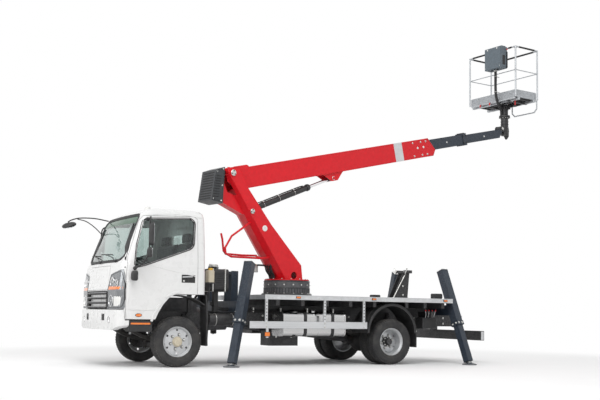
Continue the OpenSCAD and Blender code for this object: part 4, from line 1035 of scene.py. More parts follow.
# mirrors: rounded heads on the door's bracket, with glass to the rear
for side_name, side in SIDES.items():
    heads = Part()
    body = f"{side_name}_door"
    low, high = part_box(f"{side_name}_mirror")
    outer = max(abs(low.y - AXLE.y), abs(high.y - AXLE.y)) - 0.052 / 2
    for x, z, wide, tall, deep in ((4.350, 1.970, 0.176, 0.345, 0.062), (4.372, 1.702, 0.170, 0.150, 0.058)):
        centre = truck(x, side * (outer - 0.022), z)
        at = axes(centre, (0, side, 0), (1, 0, 0)) @ Matrix.Rotation(math.radians(-side * 14), 4, "Y")
        shape = rounded_rect(wide, tall, 0.045, 6)
        levels = [(0.90, -0.010), (0.99, -0.004), (1.0, 0.008), (0.97, 0.026), (0.86, 0.044), (0.60, 0.056),
                  (0.22, 0.061)]
        n = len(shape)
        points = [(px * k, py * k, h) for k, h in levels for px, py in shape]
        faces = [tuple(range(n))[::-1], tuple((len(levels) - 1) * n + i for i in range(n))]
        for k in range(len(levels) - 1):
            for i in range(n):
                j = (i + 1) % n
                faces.append((k * n + i, k * n + j, (k + 1) * n + j, (k + 1) * n + i))
        heads.add(points, faces, black_plastic, at)
        glass_shape = [(px * 0.84, py * 0.90) for px, py in shape]
        prism(heads, at @ Matrix.Translation((0, 0, -0.009)) @ Matrix.Rotation(math.pi, 4, "X"), glass_shape,
              0.004, mirror_face, 0.001)
        tube(heads, [at @ Vector(p) for p in ((0, -tall / 2 + 0.03, 0.03), (0, 0, 0.045),
                                              (0, tall / 2 - 0.03, 0.03))], 0.012, black_plastic, 10)
    arm = [truck(x, side * y, z) for x, y, z in
           ((4.330, 0.990, 2.215), (4.352, 1.100, 2.240), (4.392, outer - 0.02, 2.200),
            (4.400, outer - 0.02, 2.10),
            (4.402, outer - 0.02, 1.66), (4.450, 1.090, 1.535), (4.520, 1.010, 1.476))]
    tube(heads, bent(arm, 0.07), 0.0115, black_plastic, 12)
    for x, y, z in ((4.330, 0.958, 2.215), (4.535, 0.975, 1.468)):
        hit, way_out = on_side(side)(x, z)
        if hit is not None:
            turned(heads, facing(hit, way_out), [(0.030, 0), (0.030, 0.010), (0.022, 0.020), (0.014, 0.040)],
                   black_plastic, 20)
    spot_at = axes(truck(4.565, side * 1.060, 1.355), (0, side, 0), (1, 0, 0))
    shape = rounded_rect(0.130, 0.150, 0.035, 5)
    levels = [(0.92, -0.034), (1.0, -0.026), (1.0, 0.010), (0.9, 0.030), (0.6, 0.042)]
    n = len(shape)
    points = [(px * k, py * k, h) for k, h in levels for px, py in shape]
    faces = [tuple(range(n))[::-1], tuple((len(levels) - 1) * n + i for i in range(n))]
    for k in range(len(levels) - 1):
        for i in range(n):
            j = (i + 1) % n
            faces.append((k * n + i, k * n + j, (k + 1) * n + j, (k + 1) * n + i))
    heads.add(points, faces, black_plastic, spot_at)
    tube(heads, bent([truck(4.555, side * 0.984, 1.410), truck(4.560, side * 1.03, 1.412),
                      truck(4.562, side * 1.045, 1.37)], 0.02), 0.010, black_plastic, 10)
    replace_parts(heads.build(f"{side_name}_mirror_heads", body, "black_plastic"), f"{side_name}_mirror")

# mirror that looks down the front, on its two bent tubes
reach = Part()
tube(reach,
     curve_through([truck(4.410, -0.795, 2.305), truck(4.620, -0.880, 2.345), truck(4.860, -0.900, 2.340),
                    truck(5.000, -0.893, 2.300), truck(5.060, -0.880, 2.262)], 6), 0.010,
     black_plastic)
tube(reach,
     curve_through([truck(4.505, -0.845, 2.085), truck(4.620, -0.875, 2.200), truck(4.760, -0.893, 2.290),
                    truck(4.900, -0.900, 2.320)], 6), 0.008, black_plastic)
low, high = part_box("front_mirror")
head_at = facing(Vector((high.x - 0.080, truck(0, -0.880, 0).y, truck(0, 0, 2.215).z)), (0.30, 0.12, 0.95))
turned(reach, head_at, [(0.098, -0.030), (0.112, -0.022), (0.118, -0.006), (0.112, 0.010), (0.092, 0.026),
                        (0.060, 0.037), (0.024, 0.041), (0.0, 0.042)], black_plastic, 40)
turned(reach, head_at @ Matrix.Rotation(math.pi, 4, "X"), [(0.100, 0.026), (0.096, 0.036), (0.062, 0.045),
                                                           (0.0, 0.049)], mirror_face, 40)
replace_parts(reach.build("front_mirror_head", "root", "black_plastic"), "front_mirror")

# roof: beacon and gutters
roof = Part()
spot = truck(4.020, 0, 0)
hit, _, _, _ = CAB.ray_cast(truck(4.020, 0, 5), Vector((0, 0, -1)))
at = Matrix.Translation(hit)
turned(roof, at, [(0.062, -0.004), (0.062, 0.014), (0.056, 0.020), (0.050, 0.021), (0.048, 0.062),
                  (0.040, 0.078), (0.020, 0.086), (0.0, 0.088)], white_plastic, 32)
ring(roof, at @ Matrix.Translation((0, 0, 0.012)), 0.060, 0.006, black_plastic)
roof.build("roof_beacon", "root", "black_plastic")
for side_name, side in SIDES.items():
    gutter = Part()
    edging(gutter, on_side(side),
           [Vector((3.46 + 0.09 * k, 2.318 - 0.0016 * (k - 5) ** 2)) for k in range(11)],
           0.006, 0.010, 0.008, white_paint, closed=False)
    gutter.build(f"{side_name}_roof_gutter", "root", "cab_white")


# ---------------------------------------------------------------- cab inside: seats and dashboard

def cushion(part, at, size, crown_height, material, channels=3):
    """A crowned pad about its middle: sides pulled in between the corners and sewn channels across it."""
    long, wide, deep = size
    n = 28
    top_points, faces = [], []
    for side_z in (1, -1):
        for i in range(n + 1):
            for j in range(n + 1):
                u, v = 2 * i / n - 1, 2 * j / n - 1
                pull = 0.025 * ((1 - u * u) * abs(v) ** 6 + (1 - v * v) * abs(u) ** 6)
                fall = (1 - abs(u) ** 8) * (1 - abs(v) ** 8)
                z = side_z * (deep / 2) * max(fall, 0) ** 0.35
                if side_z > 0:
                    z += crown_height * (1 - u * u) * (1 - v * v)
                    groove = abs(math.sin(math.pi * (channels + 1) * (u + 1) / 2))
                    z -= 0.010 * fall * max(0.0, 1 - groove * 7)
                top_points.append(((long / 2) * u * (1 - pull), (wide / 2) * v * (1 - pull), z))
    for s in range(2):
        base = s * (n + 1) ** 2
        for i in range(n):
            for j in range(n):
                a = base + i * (n + 1) + j
                face = (a, a + n + 1, a + n + 2, a + 1)
                faces.append(face if s == 0 else face[::-1])
    part.add(top_points, faces, material, at)


def welded(piece):
    """Joins the two halves of a cushion along their rim."""
    join = piece.modifiers.new("weld", "WELD")
    join.merge_threshold = 0.0008
    return piece


SEAT_TOP = 1.260
for label, y, wide in (("driver", 0.430, 0.520), ("passenger", -0.350, 0.900)):
    base = Part()
    cushion(base, Matrix.Translation(truck(3.780, y, SEAT_TOP + 0.062)), (0.520, wide - 0.02, 0.120), 0.022,
            seat_cloth, 3)
    welded(base.build(f"{label}_seat_base", "root", "seat_fabric", 60))
    back = Part()
    lean = Matrix.Rotation(math.radians(-94), 4, "Y")
    cushion(back, Matrix.Translation(truck(3.545, y, 1.640)) @ lean, (0.560, wide - 0.03, 0.110), 0.018,
            seat_cloth, 4)
    welded(back.build(f"{label}_seat_back", "root", "seat_fabric", 60))
frames = Part()
for y, wide in ((0.430, 0.520), (-0.350, 0.900)):
    for dy in (-1, 1):
        tube(frames,
             bent([truck(3.58, y + dy * (wide / 2 - 0.06), 1.140),
                   truck(3.58, y + dy * (wide / 2 - 0.06), 1.245),
                   truck(3.97, y + dy * (wide / 2 - 0.06), 1.245),
                   truck(3.97, y + dy * (wide / 2 - 0.06), 1.140)],
                  0.05), 0.014, black_paint, 10)
    cushion(frames, Matrix.Translation(truck(3.515, y if wide < 0.6 else y - 0.16, 1.990)) @
            Matrix.Rotation(math.radians(-94), 4, "Y"), (0.150, 0.26, 0.075), 0.010, seat_cloth, 0)
    for dy in (-0.06, 0.06):
        off = 0 if wide < 0.6 else -0.16
        tube(frames, [truck(3.525, y + off + dy, 1.86), truck(3.518, y + off + dy, 1.96)], 0.006, chrome, 8)
welded(frames.build("seat_frames_and_headrests", "root", "seat_fabric", 60))
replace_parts(bpy.data.objects["driver_seat_base"], "seats")

dash = Part()
low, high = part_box("dashboard")
for y in (0.43, -0.05, -0.55):
    hood = axes(truck(4.385, y, 1.462), (0, 1, 0), (-0.55, 0, 0.83))
    prism(dash, hood, rounded_rect(0.36, 0.13, 0.03), 0.020, dash_plastic, 0.006)
for k in range(5):
    vent = truck(4.345, -0.20 + 0.06 * k, 1.330)
    box(dash, Matrix.Translation(vent), (0.012, 0.046, 0.030), black_plastic, 0.003)
turned(dash, facing(truck(4.395, 0.43, 1.470), (-0.6, 0, 0.8)),
       [(0.062, 0.018), (0.060, 0.024), (0.0, 0.025)],
       white_plastic, 32)
dash.build("dashboard_fittings", "root", "dash_plastic")


# ---------------------------------------------------------------- body behind the cab

DECK_LOW, DECK_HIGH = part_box("deck")
DECK_TOP = DECK_HIGH.z

# air cleaner and what stands round it
intake = Part()
low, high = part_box("air_cleaner")
for k in range(7):
    box(intake, Matrix.Translation(((low.x + high.x) / 2, high.y - 0.001, low.z + 0.40 + 0.035 * k)),
        (0.27, 0.010, 0.014), black_plastic, 0.004)
for x in (low.x + 0.06, high.x - 0.06):
    box(intake, Matrix.Translation((x, (low.y + high.y) / 2, 1.342)), (0.022, high.y - low.y + 0.012, 0.365),
        zinc, 0.004)
cap = truck(3.060, 0.480, 1.586)
turned(intake, Matrix.Translation(cap), [(0.066, -0.030), (0.068, -0.002), (0.060, 0.008), (0.020, 0.014),
                                         (0.0, 0.014)], zinc, 32)
for k in range(16):
    a = 2 * math.pi * k / 16
    box(intake, Matrix.Translation(cap + Vector((0.068 * math.cos(a), 0.068 * math.sin(a), -0.016)))
        @ Matrix.Rotation(a, 4, "Z"), (0.008, 0.012, 0.024), zinc, 0.002)
intake.build("air_cleaner_fittings", "root", "grille_black")

bottle = Part()
base = truck(3.215, 0.700, 1.300)
prism(bottle, Matrix.Translation(base), [(x, y) for x, y in rounded_rect(0.105, 0.150, 0.025)], 0.190,
      beige_plastic, 0.014)
turned(bottle, Matrix.Translation(base + Vector((0, 0.02, 0.188))),
       [(0.030, 0), (0.030, 0.006), (0.034, 0.008),
        (0.034, 0.034), (0.028, 0.038), (0.0, 0.038)], yellow_plastic, 24)
for k in range(12):
    a = 2 * math.pi * k / 12
    box(bottle, Matrix.Translation(base + Vector((0.034 * math.cos(a), 0.02 + 0.034 * math.sin(a), 0.208)))
        @ Matrix.Rotation(a, 4, "Z"), (0.005, 0.007, 0.022), yellow_plastic, 0.002)
box(bottle, Matrix.Translation(base + Vector((0, 0, -0.010))), (0.125, 0.170, 0.018), black_paint, 0.004)
tube(bottle, bent([base + Vector((0, -0.02, -0.010)), base + Vector((0, -0.02, -0.25)),
                   base + Vector((0.02, -0.14, -0.40)), truck(3.215, 0.430, 0.845)], 0.06), 0.012,
     black_paint, 10)
bottle.build("header_bottle", "root", "black_plastic")

# brake air tanks and their lines between the rails and the guard
tanks = Part()
for y, z in ((0.600, 0.720), (-0.560, 0.740)):
    at = facing(truck(2.660, y, z), (1, 0, 0))
    turned(tanks, at, [(0.0, -0.004), (0.050, 0.004), (0.088, 0.024), (0.095, 0.050), (0.095, 0.500),
                       (0.088, 0.526), (0.050, 0.546), (0.0, 0.554)], black_paint, 36)
    for k in (0.13, 0.42):
        ring(tanks, at @ Matrix.Translation((0, 0, k)), 0.096, 0.006, zinc, 40)
        box(tanks, Matrix.Translation(truck(2.660 + k, y - (0.10 if y > 0 else -0.10), z + 0.03)),
            (0.03, 0.16, 0.12), black_paint, 0.004)
for k, (y, z) in enumerate(((0.505, 0.865), (0.520, 0.885), (0.500, 0.905))):
    tube(tanks, bent([truck(3.10, y - 0.06, z + 0.10), truck(2.95, y, z), truck(2.45, y, z),
                      truck(2.30, y - 0.04, z - 0.02), truck(0.60, y - 0.04, z - 0.02)], 0.08), 0.009,
         soft_rubber, 8)
for x in (0.85, 1.35, 1.85, 2.35):
    box(tanks, Matrix.Translation(truck(x, 0.470, 0.885)), (0.025, 0.055, 0.075), zinc, 0.004)
tanks.build("brake_air_tanks", "root", "frame_black")

# radiator hoses down the back of the cab
hoses = Part()
for path, radius in (
        (((3.02, 0.10, 1.06), (3.02, 0.10, 1.30), (2.98, 0.34, 1.42), (2.97, 0.40, 1.36)), 0.032),
        (((3.26, 0.20, 1.05), (3.20, 0.36, 1.20), (3.16, 0.56, 1.22), (3.20, 0.66, 1.28)), 0.020)):
    ribbed(hoses, curve_through([truck(*p) for p in path], 10), radius, 0.020, soft_rubber, 0.10)
hoses.build("intake_hoses", "root", "black_plastic")


# ---------------------------------------------------------------- deck, guards, tanks and tail

def lozenges(part, corner, along, across, count_a, count_b, pitch, up, material, blocked=None):
    """Raised chequer bars in a staggered pattern, each a low four-sided bead."""
    along, across = Vector(along), Vector(across)
    for i in range(count_a):
        for j in range(count_b):
            at = Vector(corner) + along * (i + 0.5) * pitch + across * (j + 0.5) * pitch
            if blocked and blocked(at):
                continue
            turn = 1 if (i + j) % 2 else -1
            way = (along + across * turn).normalized()
            side = up.cross(way)
            reach, half = pitch * 0.44, pitch * 0.10
            points = [at - way * reach, at + side * half, at + way * reach, at - side * half,
                      at + up * 0.0022 - way * reach * 0.35, at + up * 0.0022 + way * reach * 0.35]
            part.add(points, [(3, 5, 4, 0), (3, 2, 5), (1, 4, 5), (1, 5, 2), (1, 0, 4)], material)


chequer = Part()
PITCH = 0.046
deck_x, deck_y = DECK_HIGH.x - DECK_LOW.x, DECK_HIGH.y - DECK_LOW.y
SLEW_COVER_R = 0.43
lozenges(chequer, (DECK_LOW.x + 0.01, DECK_LOW.y + 0.01, DECK_TOP), (1, 0, 0), (0, 1, 0),
         int((deck_x - 0.02) / PITCH), int((deck_y - 0.02) / PITCH), PITCH, UP, deck_alloy,
         lambda p: (p - Vector((SLEW.x, SLEW.y, p.z))).length < SLEW_COVER_R)
for side_name, side in SIDES.items():
    edge_y = DECK_HIGH.y if side > 0 else DECK_LOW.y
    start = (DECK_LOW.x + 0.01, edge_y, DECK_LOW.z + 0.013)
    lozenges(chequer, start, (side, 0, 0) if side > 0 else (1, 0, 0), (0, 0, 1),
             int((deck_x - 0.02) / 0.024), 2, 0.024, Vector((0, side, 0)), deck_alloy)
chequer.build("deck_chequer", "root", "deck_aluminium", 60)

edges = Part()
for side_name, side in SIDES.items():
    edge_y = DECK_HIGH.y if side > 0 else DECK_LOW.y
    for z, height in ((DECK_TOP - 0.004, 0.010), (DECK_LOW.z + 0.004, 0.010)):
        box(edges, Matrix.Translation(((DECK_LOW.x + DECK_HIGH.x) / 2, edge_y, z)), (deck_x, 0.008, height),
            anodised, 0.002)
    for x in (1.850, -1.050, 0.42):
        spot = truck(x, 0, DECK_TOP - 0.036)
        spot.y = edge_y + side * 0.004
        box(edges, Matrix.Translation(spot), (0.084, 0.012, 0.036), black_plastic, 0.003)
        box(edges, Matrix.Translation(spot + Vector((0, side * 0.006, 0))), (0.070, 0.012, 0.026),
            orange_lens, 0.004)
    for k in range(9):
        spot = truck(-1.05 + 0.42 * k, 0, DECK_TOP - 0.052)
        spot.y = edge_y
        bolt(edges, spot, (0, side, 0), 0.012, zinc)
    # rubber wedge between deck and rear leg
box(edges, Matrix.Translation(truck(-0.945, 0.985, DECK_TOP + 0.045)), (0.17, 0.14, 0.088), soft_rubber,
    0.014)
box(edges, Matrix.Translation(truck(-0.945, -0.985, DECK_TOP + 0.045)), (0.17, 0.14, 0.088), soft_rubber,
    0.014)
edges.build("deck_edges", "root", "deck_aluminium")

# guards: ribs on the rails, slotted posts, bolts and the box with its marker below
guard = Part()
for side_name, side in SIDES.items():
    face = truck(0, side * 1.082, 0).y
    for dz in (-0.046, -0.018, 0.018, 0.046):
        tube(guard, [Vector((truck(0.548, 0, 0).x, face, 0.652 + dz)),
                     Vector((truck(2.684, 0, 0).x, face, 0.652 + dz))], 0.0045, anodised, 8)
    for x in (0.535, 2.697):
        spot = truck(x, side * 1.066, 0.652)
        box(guard, Matrix.Translation(spot), (0.010, 0.038, 0.114), black_plastic, 0.004)
    for x in (0.598, 1.346, 2.400):
        for k in range(6):
            spot = truck(x, side * 1.0785, 0.745 + 0.052 * k)
            at = facing(spot, (0, side, 0))
            turned(guard, at, [(0.0095, 0), (0.0095, 0.0015), (0.0065, 0.002), (0.006, -0.003), (0, -0.003)],
                   black_plastic, 16)
        for dz in (-0.03, 0.03):
            bolt(guard, truck(x, side * 1.084, 0.652 + dz), (0, side, 0), 0.016, zinc)
        for dy in (-0.019, 0.019):
            box(guard, Matrix.Translation(truck(x + dy, side * 1.062, 0.875)), (0.004, 0.030, 0.33),
                anodised, 0.001)
    box(guard, Matrix.Translation(truck(2.38, side * 1.052, 0.505)), (0.105, 0.045, 0.088), black_plastic,
        0.008)
    box(guard, Matrix.Translation(truck(2.38, side * 1.077, 0.505)), (0.085, 0.012, 0.058), orange_lens,
        0.005)
guard.build("side_guard_fittings", "root", "guard_aluminium")

# aluminium tank: pressed end rims, black straps over rubber, weld lines and a cap
tank = Part()
TANK_LOW, TANK_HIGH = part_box("fuel_tank")
tank_mid_y = truck(0, 0.7475, 0).y
tank_mid_z = 0.473 + 0.190
outline = rounded_rect(0.405, 0.380, 0.070, 8)


def hoop(part, x, width, grow, material):
    """A band round the tank at x."""
    n = len(outline)
    rows = []
    for dx, extra in ((-width / 2, 0.0), (-width / 2, grow), (width / 2, grow), (width / 2, 0.0)):
        rows.append([(x + dx, tank_mid_y + u * (0.2025 + extra) / 0.2025,
                      tank_mid_z + v * (0.19 + extra) / 0.19)
                     for u, v in outline])
    points = [p for row in rows for p in row]
    faces = [(k * n + i, k * n + (i + 1) % n, (k + 1) * n + (i + 1) % n, (k + 1) * n + i)
             for k in range(3) for i in range(n)]
    part.add(points, [face[::-1] for face in faces], material)


tank_x = (TANK_LOW.x, TANK_HIGH.x)
for x in tank_x:
    inward = 1 if x == tank_x[0] else -1
    hoop(tank, x + inward * 0.010, 0.018, 0.006, polished)
for x in (1.633, 1.123):
    spot = truck(x, 0, 0).x
    hoop(tank, spot, 0.056, 0.004, soft_rubber)
    hoop(tank, spot, 0.042, 0.007, black_paint)
for x in (1.390,):
    spot = truck(x, 0, 0).x
    hoop(tank, spot, 0.006, 0.0015, polished)
cap = truck(1.390, 0.745, 0.902)
turned(tank, Matrix.Translation(cap), [(0.052, -0.022), (0.054, -0.004), (0.048, 0.004), (0.0, 0.005)],
       black_plastic, 32)
for k in range(20):
    a = 2 * math.pi * k / 20
    box(tank, Matrix.Translation(cap + Vector((0.054 * math.cos(a), 0.054 * math.sin(a), -0.012)))
        @ Matrix.Rotation(a, 4, "Z"), (0.006, 0.008, 0.018), black_plastic, 0.002)
turned(tank, Matrix.Translation(truck(1.72, 0.745, 0.853)), [(0.040, 0), (0.040, 0.008), (0.034, 0.012),
                                                             (0.0, 0.013)], zinc, 28)
tube(tank, bent([truck(1.72, 0.745, 0.862), truck(1.72, 0.745, 0.890), truck(1.72, 0.60, 0.890),
                 truck(1.72, 0.47, 0.860)], 0.02), 0.008, soft_rubber, 8)
turned(tank, facing(truck(1.5, 0.745, 0.474), (0, 0, -1)),
       [(0.020, 0), (0.020, 0.010), (0.012, 0.016), (0, 0.016)],
       zinc, 6)
tank.build("fuel_tank_fittings", "root", "tank_aluminium")

# oil tank: gauge, filler with breather, suction and return lines
oil = Part()
OIL_LOW, OIL_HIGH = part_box("oil_tank")
oil_face = OIL_LOW.y
turned(oil, Matrix.Translation(truck(1.240, -0.730, 0.892)),
       [(0.048, -0.012), (0.050, 0.006), (0.044, 0.020),
        (0.030, 0.024), (0.0, 0.026)], zinc, 28)
gauge = Vector((truck(1.75, 0, 0).x, oil_face - 0.006, 0.66))
box(oil, Matrix.Translation(gauge), (0.034, 0.014, 0.155), black_plastic, 0.004)
box(oil, Matrix.Translation(gauge + Vector((0, -0.006, 0))), (0.014, 0.010, 0.110), clear_lens, 0.003)
for dz in (-0.065, 0.065):
    bolt(oil, gauge + Vector((0, -0.007, dz)), (0, -1, 0), 0.014, zinc)
for x in (1.080, 1.380, 1.700):
    strap_x = truck(x + 0.03, 0, 0).x
    box(oil, Matrix.Translation((strap_x, oil_face - 0.002, 0.67)), (0.040, 0.006, 0.372), black_paint,
        0.002)
    box(oil, Matrix.Translation((strap_x, (OIL_LOW.y + OIL_HIGH.y) / 2, 0.862)), (0.040, 0.412, 0.006),
        black_paint, 0.002)
tube(oil,
     bent([truck(1.55, -0.53, 0.80), truck(1.55, -0.47, 0.80), truck(1.55, -0.47, 1.00),
           truck(1.55, -0.30, 1.04)],
          0.05), 0.020, soft_rubber, 12)
tube(oil,
     bent([truck(1.45, -0.53, 0.74), truck(1.45, -0.48, 0.74), truck(1.45, -0.46, 1.02),
           truck(1.45, -0.30, 1.06)],
          0.05), 0.016, soft_rubber, 12)
oil.build("oil_tank_fittings", "root", "frame_black")

# battery box lid and latches
battery = Part()
low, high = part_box("battery_box")
for x in (truck(1.60, 0, 0).x, truck(1.88, 0, 0).x):
    box(battery, Matrix.Translation((x, high.y - 0.001, 0.47)), (0.030, 0.012, 0.075), zinc,
        0.003)
box(battery, Matrix.Translation(((low.x + high.x) / 2, (low.y + high.y) / 2, 0.552)),
    (high.x - low.x + 0.014, high.y - low.y + 0.010, 0.030), black_plastic, 0.006)
battery.build("battery_lid", "root", "frame_black")

# rear fenders: rolled lips, ribs over the top, and hanging flaps
fenders = Part()
hub_point = truck(0.018, 0, 0.530)
for side_name, side in SIDES.items():
    for y, thick in ((1.050, 0.009), (0.562, 0.007)):
        arc = [Vector((hub_point.x + 0.488 * math.cos(math.radians(a)), truck(0, side * y, 0).y,
                       hub_point.z + 0.488 * math.sin(math.radians(a)))) for a in range(1, 180, 6)]
        tube(fenders, arc, thick, black_plastic, 10)
    for y in (0.68, 0.81, 0.94):
        arc = [Vector((hub_point.x + 0.491 * math.cos(math.radians(a)), truck(0, side * y, 0).y,
                       hub_point.z + 0.491 * math.sin(math.radians(a)))) for a in range(8, 174, 6)]
        tube(fenders, arc, 0.006, black_plastic, 8)
    for k in range(5):
        box(fenders, Matrix.Translation(truck(-0.4885, side * (0.66 + 0.082 * k), 0.42)),
            (0.008, 0.020, 0.24),
            soft_rubber, 0.003)
    box(fenders, Matrix.Translation(truck(-0.4885, side * 0.822, 0.565)), (0.010, 0.42, 0.034), zinc, 0.002)
    # propeller-shaft side brackets hold each fender to the deck
    for x in (-0.30, 0.33):
        box(fenders, Matrix.Translation(truck(x, side * 0.80, 1.010)), (0.030, 0.05, 0.10), black_paint,
            0.003)
fenders.build("rear_fender_lips", "root", "black_plastic")

# tail: lamps, plate, coupling bolts and the valve box beside the rail
tail = Part()
UNDER_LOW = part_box("underrun_bar")[0]
back_x = UNDER_LOW.x
for side_name, side in SIDES.items():
    for k, (lens, wide) in enumerate(((red_lens, 0.105), (orange_lens, 0.085), (white_plastic, 0.060))):
        offset = (0.905, 0.805, 0.728)[k]
        spot = truck(0, side * offset, 0.487)
        spot.x = back_x - 0.010
        box(tail, Matrix.Translation(spot), (0.030, wide, 0.110), lens, 0.008)
    shell = truck(0, side * 0.830, 0.487)
    shell.x = back_x + 0.001
    box(tail, Matrix.Translation(shell), (0.020, 0.282, 0.130), black_plastic, 0.006)
    outer = truck(-1.954, side * 0.987, 0.487)
    box(tail, Matrix.Translation(outer), (0.060, 0.008, 0.150), anodised, 0.003)
    for dz in (-0.05, 0.05):
        bolt(tail, truck(-1.900, side * 0.436, 0.600 + dz * 0.4), (0, side, 0), 0.018, zinc)
spot = truck(0, 0.02, 0.487)
spot.x = back_x - 0.004
box(tail, Matrix.Translation(spot), (0.010, 0.520, 0.115), white_plastic, 0.003)
for dy in (-0.26, 0.30):
    lamp_spot = spot + Vector((-0.002, dy, 0.02))
    box(tail, Matrix.Translation(lamp_spot), (0.022, 0.030, 0.050), black_plastic, 0.005)
for dy in (-1, 1):
    for dz in (-1, 1):
        hole = truck(-1.935, dy * 0.30, 0.740 + dz * 0.06)
        bolt(tail, hole, (-1, 0, 0), 0.020, zinc)
valve = truck(-0.900, 0.735, 0.700)
box(tail, Matrix.Translation(valve), (0.300, 0.230, 0.200), black_paint, 0.012)
box(tail, Matrix.Translation(valve + Vector((0, 0.117, 0.0))), (0.250, 0.010, 0.150), black_plastic, 0.004)
box(tail, Matrix.Translation(valve + Vector((0, 0, 0.150))), (0.060, 0.40, 0.110), black_paint, 0.006)
for k in range(4):
    foot = valve + Vector((-0.09 + 0.06 * k, 0.105, 0.100))
    tube(tail,
         curve_through([foot, foot + Vector((0, 0.02, 0.05)), foot + Vector((0.01 * (k - 1.5), 0.03, 0.11))],
                       5),
         0.005, chrome, 8)
    turned(tail, facing(foot + Vector((0.01 * (k - 1.5), 0.03, 0.11)), (0, 0.3, 1)),
           [(0.006, -0.004), (0.013, 0.006), (0.013, 0.016), (0.006, 0.024), (0, 0.024)], red_plastic, 16)
tail.build("tail_fittings", "root", "frame_black")

# rail bolts, hangers and shackle plates along the chassis
rivets = Part()
for side_name, side in SIDES.items():
    for x in (-1.78, -1.50, -0.86, -0.60, 0.50, 0.78, 0.95, 2.15, 2.55, 3.05):
        for z in (0.690, 0.790):
            bolt(rivets, truck(x, side * 0.430, z), (0, side, 0), 0.018, zinc)
    for x0 in (0.0, 3.815):
        for end in (-0.646, 0.646):
            spot = truck(x0 + end, side * 0.438, 0.575 if x0 else 0.580)
            turned(rivets, facing(spot, (0, side, 0)),
                   [(0.026, 0), (0.026, 0.012), (0.016, 0.016), (0.016, 0.030),
                    (0.0, 0.032)], zinc, 20)
        # U-bolts over each axle
        seat = 0.36 if x0 else 0.47
        for dx in (-0.055, 0.055):
            for dy in (0.360, 0.440):
                tube(rivets,
                     [truck(x0 + dx, side * dy, seat - 0.12), truck(x0 + dx, side * dy, seat + 0.09)], 0.009,
                     spring_steel, 10)
        box(rivets, Matrix.Translation(truck(x0, side * 0.400, seat + 0.072)), (0.15, 0.11, 0.020),
            spring_steel, 0.005)
        # damper
        top_z = 0.80 if x0 else 0.86
        tube(rivets,
             [truck(x0 - 0.16, side * 0.50, seat - 0.02), truck(x0 - 0.22, side * 0.48, seat + 0.16)], 0.020,
             chrome, 14)
        tube(rivets, [truck(x0 - 0.20, side * 0.487, seat + 0.10), truck(x0 - 0.28, side * 0.465, top_z)],
             0.031,
             black_paint, 16)
rivets.build("chassis_bolts", "root", "frame_black")

# boom rest: white pads, arms and a thin strut
rest = Part()
REST_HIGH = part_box("boom_rest")[1]
for side in (-1, 1):
    box(rest, Matrix.Translation(truck(-0.930, side * 0.125, REST_HIGH.z - 0.015)), (0.165, 0.046, 0.026),
        white_plastic, 0.008)
    tube(rest, bent([truck(-0.86, side * 0.150, 1.590), truck(-0.86, side * 0.185, 1.640),
                     truck(-0.86, side * 0.205, 1.690)], 0.02), 0.012, zinc, 12)
    for z in (1.20, 1.36, 1.50):
        bolt(rest, truck(-0.86, side * 0.078, z), (0, side, 0), 0.018, zinc)
tube(rest, [truck(-0.62, 0.125, DECK_TOP + 0.01), truck(-0.895, 0.098, 1.580)], 0.009, zinc, 12)
box(rest, Matrix.Translation(truck(-0.80, 0, DECK_TOP + 0.006)), (0.42, 0.22, 0.012), black_paint, 0.004)
for x in (-0.97, -0.63):
    for side in (-1, 1):
        bolt(rest, truck(x, side * 0.085, DECK_TOP + 0.012), UP, 0.020, zinc)
rest.build("boom_rest_pads", "root", "slate_paint")


# ---------------------------------------------------------------- outrigger legs

